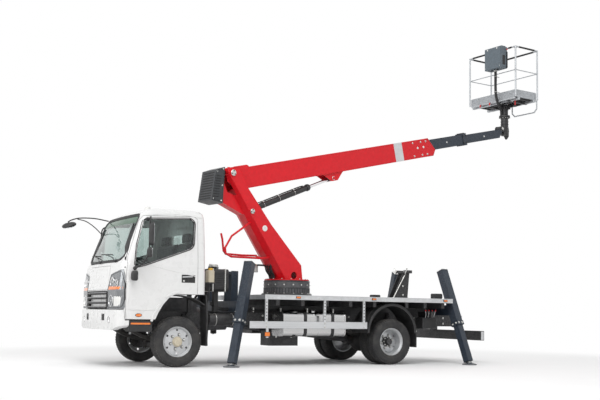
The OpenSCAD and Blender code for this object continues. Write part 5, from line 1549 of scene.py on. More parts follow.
LEGS = {"front": ((2.540, 0.720, 1.628), (2.987, 1.075, 0.0)),
        "rear": ((-1.262, 0.720, 1.628), (-1.362, 1.368, 0.0))}
LEG_OUTER, COLLAR_Z = 0.140, 0.670
for end, (head, foot) in LEGS.items():
    for side_name, side in SIDES.items():
        upper = truck(head[0], side * head[1], head[2])
        ground = truck(foot[0], side * foot[1], foot[2])
        down = (ground - upper).normalized()
        tilt_axis = Matrix.Rotation(math.atan2(ground.y - upper.y, ground.x - upper.x), 3,
                                    "Z") @ Vector((0, 1, 0))
        at = axes(upper, tilt_axis.cross(down), down)
        collar = (upper.z - COLLAR_Z) / (upper.z - ground.z) * (ground - upper).length
        case = Part()
        half = LEG_OUTER / 2
        # pale cap and flange bolts at the top
        box(case, at @ Matrix.Translation((0, 0, -0.010)), (0.148, 0.148, 0.008), white_plastic, 0.003)
        for dx in (-1, 1):
            for dy in (-1, 1):
                bolt(case, at @ Vector((dx * 0.050, dy * 0.050, -0.014)), -down, 0.013, zinc)
        # corner welds and the collar's bolts
        for z in (0.012, collar - 0.062, collar - 0.002):
            grow = half + (0.001 if z < 0.1 else 0.009)
            loop = [at @ Vector((dx * grow, dy * grow, z)) for dx,
                    dy in ((1, 1), (-1, 1), (-1, -1), (1, -1), (1, 1))]
            tube(case, loop, 0.0035, slate_paint, 6)
        for turn in range(4):
            face = at @ Matrix.Rotation(math.radians(90 * turn), 4, "Z")
            out = (face.to_3x3() @ Vector((1, 0, 0)))
            for dy in (-0.040, 0.040):
                bolt(case, face @ Vector((half + 0.008, dy, collar - 0.030)), out, 0.020, zinc)
        # hydraulic lines clipped down the inner face
        inner = at.to_3x3() @ Vector((0, 1, 0))
        sign = -1 if inner.y * side > 0 else 1
        for dx in (-0.022, 0.022):
            run = [at @ Vector((dx, sign * (half + 0.010), z)) for z in (0.06, 0.20, 0.40, collar - 0.10)]
            tube(case, run, 0.0085, soft_rubber, 10)
        for z in (0.16, 0.42, collar - 0.18):
            box(case, at @ Matrix.Translation((0, sign * (half + 0.010), z)), (0.085, 0.024, 0.022), zinc,
                0.004)
        case.build(f"{end}_{side_name}_leg_case_fittings", "root", "slate_paint")
        pad = Part()
        ground_at = Matrix.Translation(ground)
        turned(pad, ground_at @ Matrix.Translation((0, 0, 0.014)),
               [(0.121, 0), (0.121, 0.002), (0.116, 0.005),
                (0.078, 0.006)], grey_paint, 48)
        ring(pad, ground_at @ Matrix.Translation((0, 0, 0.0095)), 0.1215, 0.0045, grey_paint, 56)
        ring(pad, ground_at @ Matrix.Translation((0, 0, 0.048)), 0.036, 0.008, zinc, 36)
        for k in range(4):
            rib = ground_at @ Matrix.Rotation(math.radians(90 * k + 45), 4, "Z")
            side_rib = [(0.045, 0.015), (0.108, 0.015), (0.100, 0.022), (0.052, 0.036)]
            points = [rib @ Vector((x, y, z)) for y in (-0.004, 0.004) for x, z in side_rib]
            pad.add(points,
                    [(0, 1, 2, 3), (7, 6, 5, 4), (0, 4, 5, 1), (1, 5, 6, 2), (2, 6, 7, 3), (3, 7, 4, 0)],
                    grey_paint)
        length = (ground - upper).length
        rim_at = at @ Matrix.Translation((0, 0, length - 0.062))
        loop = [rim_at @ Vector((dx * 0.0585, dy * 0.0585, 0)) for dx,
                dy in ((1, 1), (-1, 1), (-1, -1), (1, -1), (1, 1))]
        tube(pad, loop, 0.0035, slate_paint, 6)
        pad.build(f"{end}_{side_name}_foot_fittings", f"{end}_{side_name}_leg", "slate_paint")


# ---------------------------------------------------------------- turret

turret_base = Part()
low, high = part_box("slew_ring")
at = Matrix.Translation((SLEW.x, SLEW.y, low.z))
turned(turret_base, at, [(0.427, 0.002), (0.432, 0.006), (0.432, 0.034), (0.426, 0.040), (0.396, 0.042)],
       cover_plastic, 96)
ring(turret_base, at @ Matrix.Translation((0, 0, 0.136)), 0.394, 0.006, cover_plastic, 96)
ring(turret_base, at @ Matrix.Translation((0, 0, 0.250)), 0.392, 0.007, cover_plastic, 96)
for k in range(48):
    turn = at @ Matrix.Rotation(2 * math.pi * k / 48, 4, "Z")
    box(turret_base, turn @ Matrix.Translation((0.3935, 0, 0.092)), (0.008, 0.020, 0.078), cover_plastic,
        0.002)
for k in range(16):
    turn = at @ Matrix.Rotation(2 * math.pi * (k + 0.5) / 16, 4, "Z")
    bolt(turret_base, turn @ Vector((0.411, 0, 0.041)), UP, 0.016, zinc)
    bolt(turret_base, turn @ Vector((0.3945, 0, 0.190)), turn.to_3x3() @ Vector((1, 0, 0)), 0.014, zinc)
turret_base.build("slew_cover_ribs", "root", "frame_black")

CHEEK_OUT = 0.204
post = Part()
# pins and the round cover on its cheek
EDGE_FOOT, EDGE_LEAN = (-0.181, 1.408), math.radians(35.35)
edge_way = (-math.sin(EDGE_LEAN), math.cos(EDGE_LEAN))
for side in (-1, 1):
    for s, z, r, skin in ((-1.297, 3.104, 0.050, zinc), (-0.900, 2.505, 0.042, zinc),
                          (-0.635, 2.239, 0.050, white_plastic)):
        at = facing(turret(s, side * (CHEEK_OUT + (0.018 if z > 3 else 0.017 if z > 2.4 else 0.0)), z),
                    ACROSS * side)
        turned(post, at,
               [(r, -0.002), (r, 0.006), (r * 0.92, 0.009), (r * 0.30, 0.010), (r * 0.24, 0.005),
                (0, 0.005)],
               skin, 36)
        if z > 2.4:
            for k in range(3):
                turn = at @ Matrix.Rotation(2 * math.pi * k / 3 + 0.4, 4, "Z")
                bolt(post, turn @ Vector((r * 0.66, 0, 0.008)), ACROSS * side, 0.012, black_paint)
    ring(post, facing(turret(-0.007, side * (CHEEK_OUT + 0.001), 1.478), ACROSS * side), 0.064, 0.005,
         red_paint, 40)
    # weld bead along the cheek's rim
    rim = [(-0.170, 1.412), (-1.352, 3.079), None, (0.176, 1.412), (0.146, 1.652), (-0.490, 2.293),
           (-0.983, 2.872),
           (-1.150, 3.184)]
    run = []
    for p in rim + [None]:
        if p is None:
            tube(post, [turret(s, side * (CHEEK_OUT - 0.001), z) for s, z in run], 0.0045, red_paint, 6)
            run = []
        else:
            run.append(p)
    foot = [(0.385 * math.cos(a), 0.385 * math.sin(a)) for a in (2 * math.pi * k / 60 for k in range(60))]
for k in range(14):
    a = 2 * math.pi * (k + 0.5) / 14
    bolt(post, turret(0.355 * math.cos(a), 0.355 * math.sin(a), 1.410), UP, 0.018, zinc)
along = [(EDGE_FOOT[0] + edge_way[0] * d, EDGE_FOOT[1] + edge_way[1] * d) for d in (0.02, 1.98)]
post.build("column_pins_and_welds", "column", "boom_red")

# hoses and valve at the column's foot
valves = Part()
at = turret_axes(-0.565, 0.150, 1.578)
box(valves, at, (0.090, 0.060, 0.120), zinc, 0.008)
for k in range(3):
    box(valves, at @ Matrix.Translation((0, 0.034, -0.036 + 0.036 * k)), (0.066, 0.014, 0.022), anodised,
        0.004)
    turned(valves, at @ Matrix.Translation((-0.02 + 0.02 * k, 0, 0.060)),
           [(0.010, 0), (0.010, 0.020), (0.006, 0.024),
            (0, 0.024)], brass, 6)
for k, y in enumerate((0.062, 0.022, -0.022, -0.062)):
    path = curve_through([turret(-0.315, y, 1.400), turret(-0.330, y * 1.1, 1.475),
                          turret(-0.390, y * 1.2, 1.560),
                          turret(-0.400, y * 1.2, 1.660), turret(-0.392, y, 1.735), turret(-0.425, y, 1.800),
                          turret(-0.480, y, 1.880)], 6)
    tube(valves, path, 0.013, soft_rubber, 12)
    tube(valves, [turret(-0.480, y, 1.880), turret(-1.000, y, 2.612)], 0.013, soft_rubber, 12)
box(valves, turret_axes(-0.455, 0.090, 1.640), (0.22, 0.030, 0.030), black_paint, 0.005)
box(valves, turret_axes(-0.440, 0, 1.765), (0.10, 0.200, 0.022), black_paint, 0.005)
valves.build("column_hoses", "column", "black_plastic")

# turret cover: slotted vents, seams and screws
vents = Part()
COVER_FACE = 0.204
for side in (-1, 1):
    for k in range(9):
        s, z = -1.575 - 0.006 * k, 3.030 - 0.042 * k
        box(vents, turret_axes(s, side * (COVER_FACE + 0.001), z), (0.120, 0.010, 0.013), soft_rubber, 0.003)
    for s, z in ((-1.485, 3.150), (-1.600, 3.100), (-1.672, 2.655), (-1.515, 2.632), (-1.500, 2.880)):
        bolt(vents, turret(s, side * COVER_FACE, z), ACROSS * side, 0.014, zinc)
    outline = [(-1.470, 3.160), (-1.606, 3.108), (-1.682, 2.642), (-1.500, 2.616), (-1.470, 3.160)]
    tube(vents, [turret(s, side * (COVER_FACE + 0.001), z) for s, z in outline], 0.005, cover_plastic, 8)
slope = (Vector((-1.624, 0, 3.124)) - Vector((-1.701, 0, 2.623)))
for k in range(11):
    t = (k + 1) / 12
    s, z = -1.701 + slope.x * t, 2.623 + slope.z * t
    box(vents, turret_axes(s - 0.001, 0, z), (0.010, 0.310, 0.018), soft_rubber, 0.003)
vents.build("column_cover_vents", "column", "black_plastic")

# lift cylinder: gland, ports, lines clipped along the barrel; the rod's eye and its pin
BARREL = pivot("barrel_swing")
ROD_WAY = Vector(JOINT["rod_stroke"]["axis"]).normalized()
if ROD_WAY.dot(OUTWARD) < 0:
    ROD_WAY = -ROD_WAY
ROD_UP = ROD_WAY.cross(ACROSS)


def barrel(x, y, z):
    return BARREL + ROD_WAY * x + ACROSS * y + ROD_UP * z


ram = Part()
gland = facing(barrel(1.390, 0, 0), ROD_WAY)
turned(ram, gland,
       [(0.0565, 0.0), (0.059, 0.004), (0.059, 0.050), (0.055, 0.058), (0.046, 0.062), (0.046, 0.074),
        (0.036, 0.078), (0.031, 0.078)], black_paint, 40)
for k in range(8):
    turn = gland @ Matrix.Rotation(2 * math.pi * k / 8, 4, "Z")
    box(ram, turn @ Matrix.Translation((0.0585, 0, 0.026)), (0.006, 0.012, 0.030), black_paint, 0.002)
box(ram, axes(barrel(0.170, 0, 0.075), ROD_WAY, ROD_UP), (0.150, 0.090, 0.060), zinc, 0.008)
for x in (0.125, 0.170, 0.215):
    turned(ram, facing(barrel(x, 0, 0.104), ROD_UP),
           [(0.013, 0), (0.013, 0.014), (0.009, 0.018), (0, 0.018)], brass, 6)
for y in (-0.018, 0.018):
    tube(ram, bent([barrel(0.245, y, 0.078), barrel(0.330, y, 0.064), barrel(1.250, y, 0.064),
                    barrel(1.330, y, 0.058)], 0.04), 0.008, soft_rubber, 10)
for x in (0.400, 0.750, 1.100):
    box(ram, axes(barrel(x, 0, 0.061), ROD_WAY, ROD_UP), (0.026, 0.070, 0.026), zinc, 0.004)
    ring(ram, facing(barrel(x, 0, 0), ROD_WAY), 0.0515, 0.0035, zinc, 40)
ram.build("lift_cylinder_fittings", "lift_barrel", "frame_black")

eye = Part()
eye_at = Vector(PIN) + ALONG * 2.210 - BOOM_UP * 0.375
for side in (-1, 1):
    at = facing(eye_at + ACROSS * side * 0.050, ACROSS * side)
    turned(eye, at, [(0.041, -0.100), (0.041, -0.004), (0.036, 0.0005), (0.024, 0.0005)], black_paint, 36)
collar_at = facing(eye_at - ROD_WAY * 0.085, ROD_WAY)
turned(eye, collar_at, [(0.031, 0.0), (0.036, 0.004), (0.036, 0.040), (0.030, 0.052)], black_paint, 32)
eye.build("rod_eye_bush", "lift_rod", "chrome_rod")


# ---------------------------------------------------------------- boom

HALF_W = 0.125
BOOM_MID, BOOM_HALF = -0.113, 0.172
skin = Part()
for side in (-1, 1):
    face = ACROSS * side
    # weld seams near the top and bottom edges
    for z in (BOOM_MID + BOOM_HALF - 0.016, BOOM_MID - BOOM_HALF + 0.016):
        tube(skin, [boom(-0.05, side * (HALF_W + 0.0005), z), boom(4.74, side * (HALF_W + 0.0005), z)],
             0.0035,
             red_paint, 6)
    # boss of the hinge and the stiffened panel beside it
    at = facing(boom(0, side * 0.142, 0), face)
    turned(skin, at, [(0.060, -0.016), (0.060, 0.001), (0.052, 0.004), (0.034, 0.004)], red_paint, 40)
    prism(skin,
          axes(boom(0, side * HALF_W, 0), ALONG, face) @ Matrix.Translation((0.22, 0, 0)),
          rounded_rect(0.36, 0.20, 0.06), 0.004, red_paint, 0.002)
    # silver band, and bolts and round caps past it towards the open end
    box(skin, boom_axes(3.900, side * (HALF_W + 0.0015), BOOM_MID) , (0.215, 0.005, BOOM_HALF * 2 + 0.006),
        anodised, 0.0015)
    for x in (4.30, 4.52, 4.66):
        for z in (BOOM_MID + 0.125, BOOM_MID - 0.125):
            bolt(skin, boom(x, side * HALF_W, z), face, 0.020, zinc)
    for x in (4.42, 4.58):
        turned(skin, facing(boom(x, side * HALF_W, BOOM_MID + 0.02), face),
               [(0.022, 0), (0.022, 0.004), (0.018, 0.006),
                (0, 0.006)], white_plastic, 28)
    # pin plates of the lift cylinder
    at = facing(eye_at + ACROSS * side * 0.100, face)
    turned(skin, at, [(0.034, 0), (0.034, 0.006), (0.030, 0.009), (0.008, 0.009), (0, 0.006)], zinc, 32)
    tube(skin, [boom(1.99, side * 0.101, -0.292), boom(2.45, side * 0.101, -0.292)], 0.005, red_paint, 6)
for z, lift in ((BOOM_MID + BOOM_HALF, 1), (BOOM_MID - BOOM_HALF, -1)):
    box(skin, boom_axes(3.900, 0, z + lift * 0.0015), (0.215, HALF_W * 2 + 0.006, 0.005), anodised, 0.0015)
    for y in (-0.118, 0.118):
        tube(skin, [boom(0.10, y, z + lift * 0.0005), boom(4.70, y, z + lift * 0.0005)], 0.0035, red_paint,
             6)
# frame round the open end, in a darker red that is painted shade
end_ring = [(4.742, -HALF_W, BOOM_MID + BOOM_HALF), (4.742, HALF_W, BOOM_MID + BOOM_HALF),
            (4.905, HALF_W, -0.180), (4.830, HALF_W, BOOM_MID - BOOM_HALF),
            (4.830, -HALF_W, BOOM_MID - BOOM_HALF),
            (4.905, -HALF_W, -0.180), (4.742, -HALF_W, BOOM_MID + BOOM_HALF)]
tube(skin, [boom(x - 0.012, y * 0.992, z * 1.0) for x, y, z in end_ring], 0.007, painted_shade_red, 8)
skin.build("boom_bands_and_welds", "boom_outer", "boom_red")

middle_part = Part()
for side in (-1, 1):
    for x in (5.795, 5.865):
        for z in (-0.005, -0.145):
            bolt(middle_part, boom(x, side * 0.0995, z), ACROSS * side, 0.018, black_paint)
    for z in (0.026, -0.176):
        tube(middle_part, [boom(4.86, side * 0.0855, z), boom(5.775, side * 0.0855, z)], 0.003, slate_paint,
             6)
    turned(middle_part, facing(boom(5.30, side * 0.0855, -0.075), ACROSS * side),
           [(0.016, 0), (0.016, 0.003), (0.010, 0.005), (0, 0.005)], white_plastic, 24)
for x in (5.786, 5.874):
    loop = [boom(x, y, z) for y,
            z in ((-0.099, 0.044), (0.099, 0.044), (0.099, -0.194), (-0.099, -0.194), (-0.099, 0.044))]
    tube(middle_part, loop, 0.0045, black_paint, 6)
box(middle_part, boom_axes(5.83, 0, 0.052), (0.080, 0.140, 0.016), black_plastic, 0.004)
middle_part.build("middle_section_collar", "boom_mid", "slate_paint")

inner_part = Part()
for side in (-1, 1):
    for z in (0.008, -0.158):
        tube(inner_part, [boom(5.90, side * 0.0685, z), boom(6.93, side * 0.0685, z)], 0.003, slate_paint, 6)
    turned(inner_part, facing(boom(6.46, side * 0.0685, -0.080), ACROSS * side),
           [(0.017, 0), (0.017, 0.004), (0.010, 0.006), (0, 0.006)], white_plastic, 24)
    tip = facing(boom(7.063, side * 0.068, 0.018), ACROSS * side)
    turned(inner_part, tip, [(0.056, -0.014), (0.056, 0.004), (0.050, 0.008), (0.030, 0.008)], black_paint,
           40)
    for k in range(4):
        turn = tip @ Matrix.Rotation(math.radians(45 + 90 * k), 4, "Z")
        bolt(inner_part, turn @ Vector((0.043, 0, 0.007)), ACROSS * side, 0.010, zinc)
inner_part.build("inner_section_tip", "boom_inner", "slate_paint")


# ---------------------------------------------------------------- boom head and basket

LEVEL_PIN = pivot("basket_level")
head = Part()
for side in (-1, 1):
    at = facing(LEVEL_PIN + ACROSS * side * 0.080, ACROSS * side)
    turned(head, at, [(0.045, -0.004), (0.045, 0.006), (0.040, 0.010), (0, 0.010)], black_paint, 32)
    plate_at = at @ Matrix.Translation((0, 0, 0.010)) @ Matrix.Rotation(math.radians(20), 4, "Z")
    prism(head, plate_at, [(0.034, 0), (0, 0.034), (-0.034, 0), (0, -0.034)], 0.005, zinc, 0.002)
    for k in range(4):
        a = math.radians(90 * k)
        bolt(head, plate_at @ Vector((0.022 * math.cos(a), 0.022 * math.sin(a), 0.005)), ACROSS * side,
             0.007, zinc, False)
TURN_AXIS = pivot("basket_turn")
low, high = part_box("boom_head")
for z in (low.z + 0.10, low.z + 0.16, low.z + 0.22, high.z - 0.10, high.z - 0.16):
    ring(head, Matrix.Translation((TURN_AXIS.x, TURN_AXIS.y, z)), 0.078, 0.007, black_paint, 48)
ring(head, Matrix.Translation((TURN_AXIS.x, TURN_AXIS.y, high.z - 0.012)), 0.110, 0.008, black_paint, 56)
for k in range(12):
    a = 2 * math.pi * k / 12
    spot = Vector((TURN_AXIS.x + 0.096 * math.cos(a), TURN_AXIS.y + 0.096 * math.sin(a), high.z - 0.024))
    bolt(head, spot, -UP, 0.014, zinc)
head.build("boom_head_plates", "boom_head", "frame_black")

cage = Part()
HALF_X, HALF_Y = BASKET_HALF[0] - 0.017, BASKET_HALF[1] - 0.017
TOP, MID = BASKET_TOP, 0.560
# welds at each joint and black grips along the rails
for sx in (-1, 1):
    for sy in (-1, 1):
        corner = [basket(sx * HALF_X, sy * HALF_Y, TOP - 0.09),
                  basket(sx * HALF_X, sy * HALF_Y, TOP - 0.012),
                  basket(sx * (HALF_X - 0.010), sy * HALF_Y, TOP)]
        ring(cage, basket_axes(sx * HALF_X, sy * HALF_Y, TOP - 0.10), 0.0172, 0.003, basket_alloy, 24)
        for z in (0.015, MID - 0.014, MID + 0.014):
            ring(cage, basket_axes(sx * HALF_X, sy * HALF_Y, z), 0.0172, 0.0028, basket_alloy, 24)
        box(cage, basket_axes(sx * (HALF_X - 0.035), sy * (HALF_Y - 0.035), TOP - 0.020),
            (0.050, 0.050, 0.006),
            basket_alloy, 0.002)
GRIP = 0.0185
for sx in (-1, 1):
    if sx < 0:
        runs = ((-HALF_Y + 0.10, HALF_Y - 0.10),)
    else:
        runs = ((-HALF_Y + 0.10, -0.03), (0.47, HALF_Y - 0.10))
    for a, b in runs:
        tube(cage, [basket(sx * HALF_X, a, TOP), basket(sx * HALF_X, b, TOP)], GRIP, soft_rubber, 16)
for sy in (-1, 1):
    tube(cage, [basket(-HALF_X + 0.09, sy * HALF_Y, TOP), basket(HALF_X - 0.09, sy * HALF_Y, TOP)], GRIP,
         soft_rubber, 16)
# silver bars and red fittings under the floor
for sx in (-1, 1):
    box(cage, basket_axes(sx * 0.300, 0, -0.016), (0.050, 1.240, 0.030), basket_alloy, 0.006)
box(cage, basket_axes(0, -0.300, -0.040), (0.560, 0.050, 0.030), black_paint, 0.006)
box(cage, basket_axes(0, 0.400, -0.040), (0.560, 0.050, 0.030), black_paint, 0.006)
for y in (-0.330, -0.060):
    tube(cage, [basket(0.340, y, -0.075), basket(0.340, y, -0.010)], 0.013, red_plastic, 14)
    ring(cage, basket_axes(0.340, y, -0.010), 0.014, 0.004, zinc, 24)
tube(cage, [basket(0.340, -0.390, -0.078), basket(0.340, -0.010, -0.078)], 0.011, basket_alloy, 14)
tube(cage, [basket(0.190, 0.520, -0.150), basket(0.190, 0.520, -0.030)], 0.012, red_plastic, 14)
box(cage, basket_axes(0.190, 0.520, -0.160), (0.060, 0.060, 0.030), black_paint, 0.006)
for x in (-0.220, 0.220):
    for y in (-0.48, -0.16, 0.16, 0.48):
        bolt(cage, basket(x, y, -0.050), -UP, 0.016, zinc)
# dark sheet and cross members that close the floor from below, and the black rotator post
box(cage, basket_axes(0, 0, 0.0005), (0.600, 1.270, 0.004), black_paint, 0.001)
for y in (-0.56, -0.42, -0.28, -0.14, 0.0, 0.28, 0.42, 0.56):
    box(cage, basket_axes(0, y, -0.012), (0.590, 0.030, 0.022), black_paint, 0.004)
post_foot = Vector((TURN_AXIS.x, TURN_AXIS.y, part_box("boom_head")[1].z + 0.005))
turned(cage, Matrix.Translation(post_foot), [(0.113, 0.0), (0.113, 0.023), (0.090, 0.030), (0.0735, 0.040),
                                             (0.0735, 0.240)], black_paint, 56)
for k in range(6):
    turn = Matrix.Translation(post_foot + UP * 0.20) @ Matrix.Rotation(math.radians(60 * k + 10), 4, "Z")
    box(cage, turn @ Matrix.Translation((0.095, 0, 0)), (0.060, 0.010, 0.090), black_paint, 0.003)
for dx in (-0.16, 0.16):
    box(cage, basket_axes(dx, 0.0800, -0.045), (0.030, 0.520, 0.050), black_paint, 0.006)
cage.build("basket_grips_and_bars", "basket", "basket_aluminium")

floor_part = Part()
for sx in (-1, 1):
    lozenges(floor_part, basket(sx * (HALF_X - 0.0165), -0.62 * sx, 0.018),
             basket(0, sx, 0) - basket(0, 0, 0), (0, 0, 1),
             54, 5, 0.0235, basket(sx, 0, 0) - basket(0, 0, 0), grey_panel)
    tube(floor_part,
         [basket(sx * (HALF_X - 0.018), -HALF_Y + 0.03, 0.152),
          basket(sx * (HALF_X - 0.018), HALF_Y - 0.03, 0.152)],
         0.006, basket_alloy, 8)
for sy in (-1, 1):
    lozenges(floor_part, basket(0.27 * sy, sy * (HALF_Y - 0.0165), 0.018),
             basket(-sy, 0, 0) - basket(0, 0, 0), (0, 0, 1),
             23, 5, 0.0235, basket(0, sy, 0) - basket(0, 0, 0), grey_panel)
    tube(floor_part,
         [basket(-HALF_X + 0.03, sy * (HALF_Y - 0.018), 0.152),
          basket(HALF_X - 0.03, sy * (HALF_Y - 0.018), 0.152)],
         0.006, basket_alloy, 8)
lozenges(floor_part, basket(-0.285, -0.62, 0.0150), BASKET_X,
         BASKET_Y,
         14, 30, 0.0405, UP, grey_panel)
floor_part.build("basket_floor_chequer", "basket", "basket_grey", 60)

panel = Part()
X0, X1 = BASKET_HALF[0] + 0.002, BASKET_HALF[0] + 0.200
# hood's folded rim, cover screws, side seam, levers and switches behind it
prism(panel,
      axes(basket(X1, 0.220, 0.845), BASKET_Y, BASKET_X),
      rounded_rect(0.428, 0.438, 0.016), 0.005, box_paint, 0.003)
for y, z in ((0.085, 1.052), (0.350, 1.052)):
    turned(panel, facing(basket(X1 + 0.004, y, z - 0.012), BASKET_X),
           [(0.017, 0), (0.017, 0.004), (0.013, 0.007), (0, 0.007)], white_plastic, 28)
for y, z in ((0.020, 0.640), (0.420, 0.640)):
    bolt(panel, basket(X1 + 0.004, y, z + 0.02), BASKET_X, 0.010, zinc)
box(panel, basket_axes((X0 + X1) / 2, 0.441, 0.845), (0.150, 0.006, 0.40), box_paint, 0.003)
box(panel, basket_axes((X0 + X1) / 2, 0.445, 0.79), (0.075, 0.010, 0.20), black_plastic, 0.004)
box(panel, basket_axes(X0 + 0.012, 0.452, 0.80), (0.020, 0.030, 0.34), soft_rubber, 0.006)
for y, z, knob in ((0.452, 1.010, red_plastic), (0.452, 0.900, black_plastic)):
    tube(panel, [basket(X0 + 0.04, 0.440, z), basket(X0 + 0.04, y + 0.020, z)], 0.006, chrome, 10)
    turned(panel, facing(basket(X0 + 0.04, y + 0.018, z), BASKET_Y),
           [(0.006, -0.002), (0.014, 0.004), (0.014, 0.016), (0.006, 0.022), (0, 0.022)], knob, 20)
for k in range(4):
    foot = basket(X0 + 0.06, 0.09 + 0.085 * k, 1.100)
    tube(panel, [foot, foot + UP * 0.018], 0.006, chrome, 10)
    turned(panel, Matrix.Translation(foot + UP * 0.002),
           [(0.014, 0), (0.014, 0.006), (0.009, 0.012), (0.006, 0.014),
            (0, 0.014)], soft_rubber, 20)
for k in range(3):
    turned(panel,
           Matrix.Translation(basket(X0 + 0.13, 0.14 + 0.08 * k, 0.6185)) @ Matrix.Rotation(math.pi, 4, "X"),
           [(0.020, 0), (0.020, 0.012), (0.014, 0.018), (0, 0.018)], black_plastic, 8)
panel.build("control_box_fittings", "basket", "box_grey")

# corrugated conduit, clipped to the basket all the way
out = BASKET_HALF[0] + 0.100
route = [(out, 0.210, 0.619), (out, 0.210, 0.400), (out - 0.004, 0.206, 0.240), (out - 0.030, 0.190, 0.110),
         (out - 0.090, 0.160, 0.010), (out - 0.170, 0.130, -0.070), (out - 0.250, 0.105, -0.140),
         (out - 0.292, 0.092, -0.205), (out - 0.292, 0.092, -0.278)]
conduit = Part()
ribbed(conduit, curve_through([basket(*p) for p in route], 8), 0.031, 0.022, black_plastic, 0.20, 20)
for z in (0.150, 0.470):
    box(conduit, basket_axes(out - 0.055, 0.210, z + 0.008), (0.106, 0.020, 0.016), zinc, 0.003)
    ring(conduit, basket_axes(out if z > 0.3 else out - 0.018, 0.209 if z > 0.3 else 0.196, z + 0.008),
         0.033, 0.005, zinc, 32)
turned(conduit, basket_axes(out, 0.210, 0.585), [(0.036, 0), (0.038, 0.004), (0.038, 0.020), (0.034, 0.034)],
       zinc, 24)
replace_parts(conduit.build("conduit_hose", "basket", "black_plastic"), "cable_conduit")


# ---------------------------------------------------------------- floor, light and camera

FLOOR_HALF = 60.0
floor_mesh = bpy.data.meshes.new("floor")
floor_mesh.from_pydata([(x * FLOOR_HALF, y * FLOOR_HALF, -0.001) for x,
                        y in ((-1, -1), (1, -1), (1, 1), (-1, 1))],
                       [], [(0, 1, 2, 3)])
floor = bpy.data.objects.new("floor", floor_mesh)
bpy.context.scene.collection.objects.link(floor)
floor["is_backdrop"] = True


def pale_floor():
    """A pale floor that keeps the shadow and goes white with distance from the machine."""
    made = bpy.data.materials.new("pale_floor")
    made.use_nodes = True
    nodes, links = made.node_tree.nodes, made.node_tree.links
    shader = nodes["Principled BSDF"]
    shader.inputs["Roughness"].default_value = 0.9
    shader.inputs["Specular IOR Level"].default_value = 0.1
    place = nodes.new("ShaderNodeTexCoord")
    noise = nodes.new("ShaderNodeTexNoise")
    noise.inputs["Scale"].default_value = 1.5
    links.new(place.outputs["Object"], noise.inputs["Vector"])
    tone = nodes.new("ShaderNodeValToRGB")
    tone.color_ramp.elements[0].color = (0.93, 0.93, 0.93, 1)
    tone.color_ramp.elements[1].color = (0.96, 0.96, 0.96, 1)
    links.new(noise.outputs["Fac"], tone.inputs["Fac"])
    links.new(tone.outputs["Color"], shader.inputs["Base Color"])
    far = nodes.new("ShaderNodeVectorMath")
    far.operation = "LENGTH"
    links.new(place.outputs["Object"], far.inputs[0])
    fade = nodes.new("ShaderNodeMapRange")
    fade.interpolation_type = "SMOOTHSTEP"
    for socket, number in zip(("From Min", "From Max", "To Min", "To Max"), (5.5, 9.0, 0.0, 1.0)):
        fade.inputs[socket].default_value = number
    links.new(far.outputs["Value"], fade.inputs["Value"])
    white = nodes.new("ShaderNodeEmission")
    white.inputs["Strength"].default_value = 1.0
    path = nodes.new("ShaderNodeLightPath")
    seen = nodes.new("ShaderNodeMath")
    seen.operation = "MULTIPLY"
    links.new(path.outputs["Is Camera Ray"], seen.inputs[0])
    links.new(fade.outputs["Result"], seen.inputs[1])
    mix = nodes.new("ShaderNodeMixShader")
    links.new(seen.outputs[0], mix.inputs["Fac"])
    links.new(shader.outputs["BSDF"], mix.inputs[1])
    links.new(white.outputs["Emission"], mix.inputs[2])
    links.new(mix.outputs["Shader"], nodes["Material Output"].inputs["Surface"])
    return made


floor_mesh.materials.append(pale_floor())

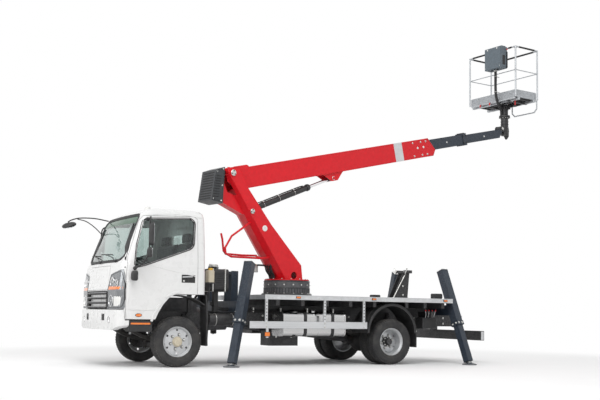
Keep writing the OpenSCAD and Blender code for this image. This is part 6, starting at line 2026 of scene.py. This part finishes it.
world = bpy.data.worlds.new("studio")
bpy.context.scene.world = world
world.use_nodes = True
wn, wl = world.node_tree.nodes, world.node_tree.links
background = wn["Background"]
ray = wn.new("ShaderNodeLightPath")
either = wn.new("ShaderNodeMath")
either.operation = "MAXIMUM"
wl.new(ray.outputs["Is Camera Ray"], either.inputs[0])
wl.new(ray.outputs["Is Glossy Ray"], either.inputs[1])
any_ray = wn.new("ShaderNodeMath")
any_ray.operation = "MAXIMUM"
wl.new(either.outputs[0], any_ray.inputs[0])
wl.new(ray.outputs["Is Transmission Ray"], any_ray.inputs[1])
WORLD_LIGHT = 0.62
level = wn.new("ShaderNodeMapRange")
level.inputs["To Min"].default_value = WORLD_LIGHT
level.inputs["To Max"].default_value = 1.0
wl.new(any_ray.outputs[0], level.inputs["Value"])
wl.new(level.outputs["Result"], background.inputs["Strength"])
background.inputs["Color"].default_value = (1, 1, 1, 1)


def lamp(name, place, aim, size, power):
    data = bpy.data.lights.new(name, "AREA")
    data.shape = "RECTANGLE"
    data.size, data.size_y = size
    data.energy = power
    made = bpy.data.objects.new(name, data)
    bpy.context.scene.collection.objects.link(made)
    made.matrix_world = facing(place, Vector(place) - Vector(aim))
    return made


# name, place, point aimed at, size and watts
LAMPS = (("key", (6.0, 9.0, 12.0), (0.5, 0, 1.5), (8, 8), 900),
         ("fill", (12.0, 2.0, 5.0), (2.0, 0, 1.2), (7, 5), 260),
         ("back", (-8.0, -8.0, 9.0), (0, 0, 2.0), (8, 6), 330))
for row in LAMPS:
    lamp(*row)

# the camera: where it stands, how it is turned (radians), and its lens
STAND = Vector((8.9066, 14.8197, 0.8436))
TURN, LOOK_UP, ROLL = 0.4946, 0.0796, -0.0150
SENSOR_MM, LENS_MM = 36.0, 57.93
SHIFT_X, SHIFT_Y = 0.001, 0.06
level_way = Vector((-math.sin(TURN), -math.cos(TURN), 0))
right = Vector((-math.cos(TURN), math.sin(TURN), 0))
way = level_way * math.cos(LOOK_UP) + UP * math.sin(LOOK_UP)
top = UP * math.cos(LOOK_UP) - level_way * math.sin(LOOK_UP)
right, top = right * math.cos(ROLL) - top * math.sin(ROLL), top * math.cos(ROLL) + right * math.sin(ROLL)
camera_data = bpy.data.cameras.new("camera")
camera_data.sensor_width = SENSOR_MM
camera_data.lens = LENS_MM
camera_data.shift_x = SHIFT_X
camera_data.shift_y = SHIFT_Y
camera = bpy.data.objects.new("camera", camera_data)
bpy.context.scene.collection.objects.link(camera)
pose = Matrix((right, top, -way)).transposed().to_4x4()
pose.translation = STAND
camera.matrix_world = pose
bpy.context.scene.camera = camera
bpy.context.scene.view_settings.view_transform = "Standard"

low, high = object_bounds()
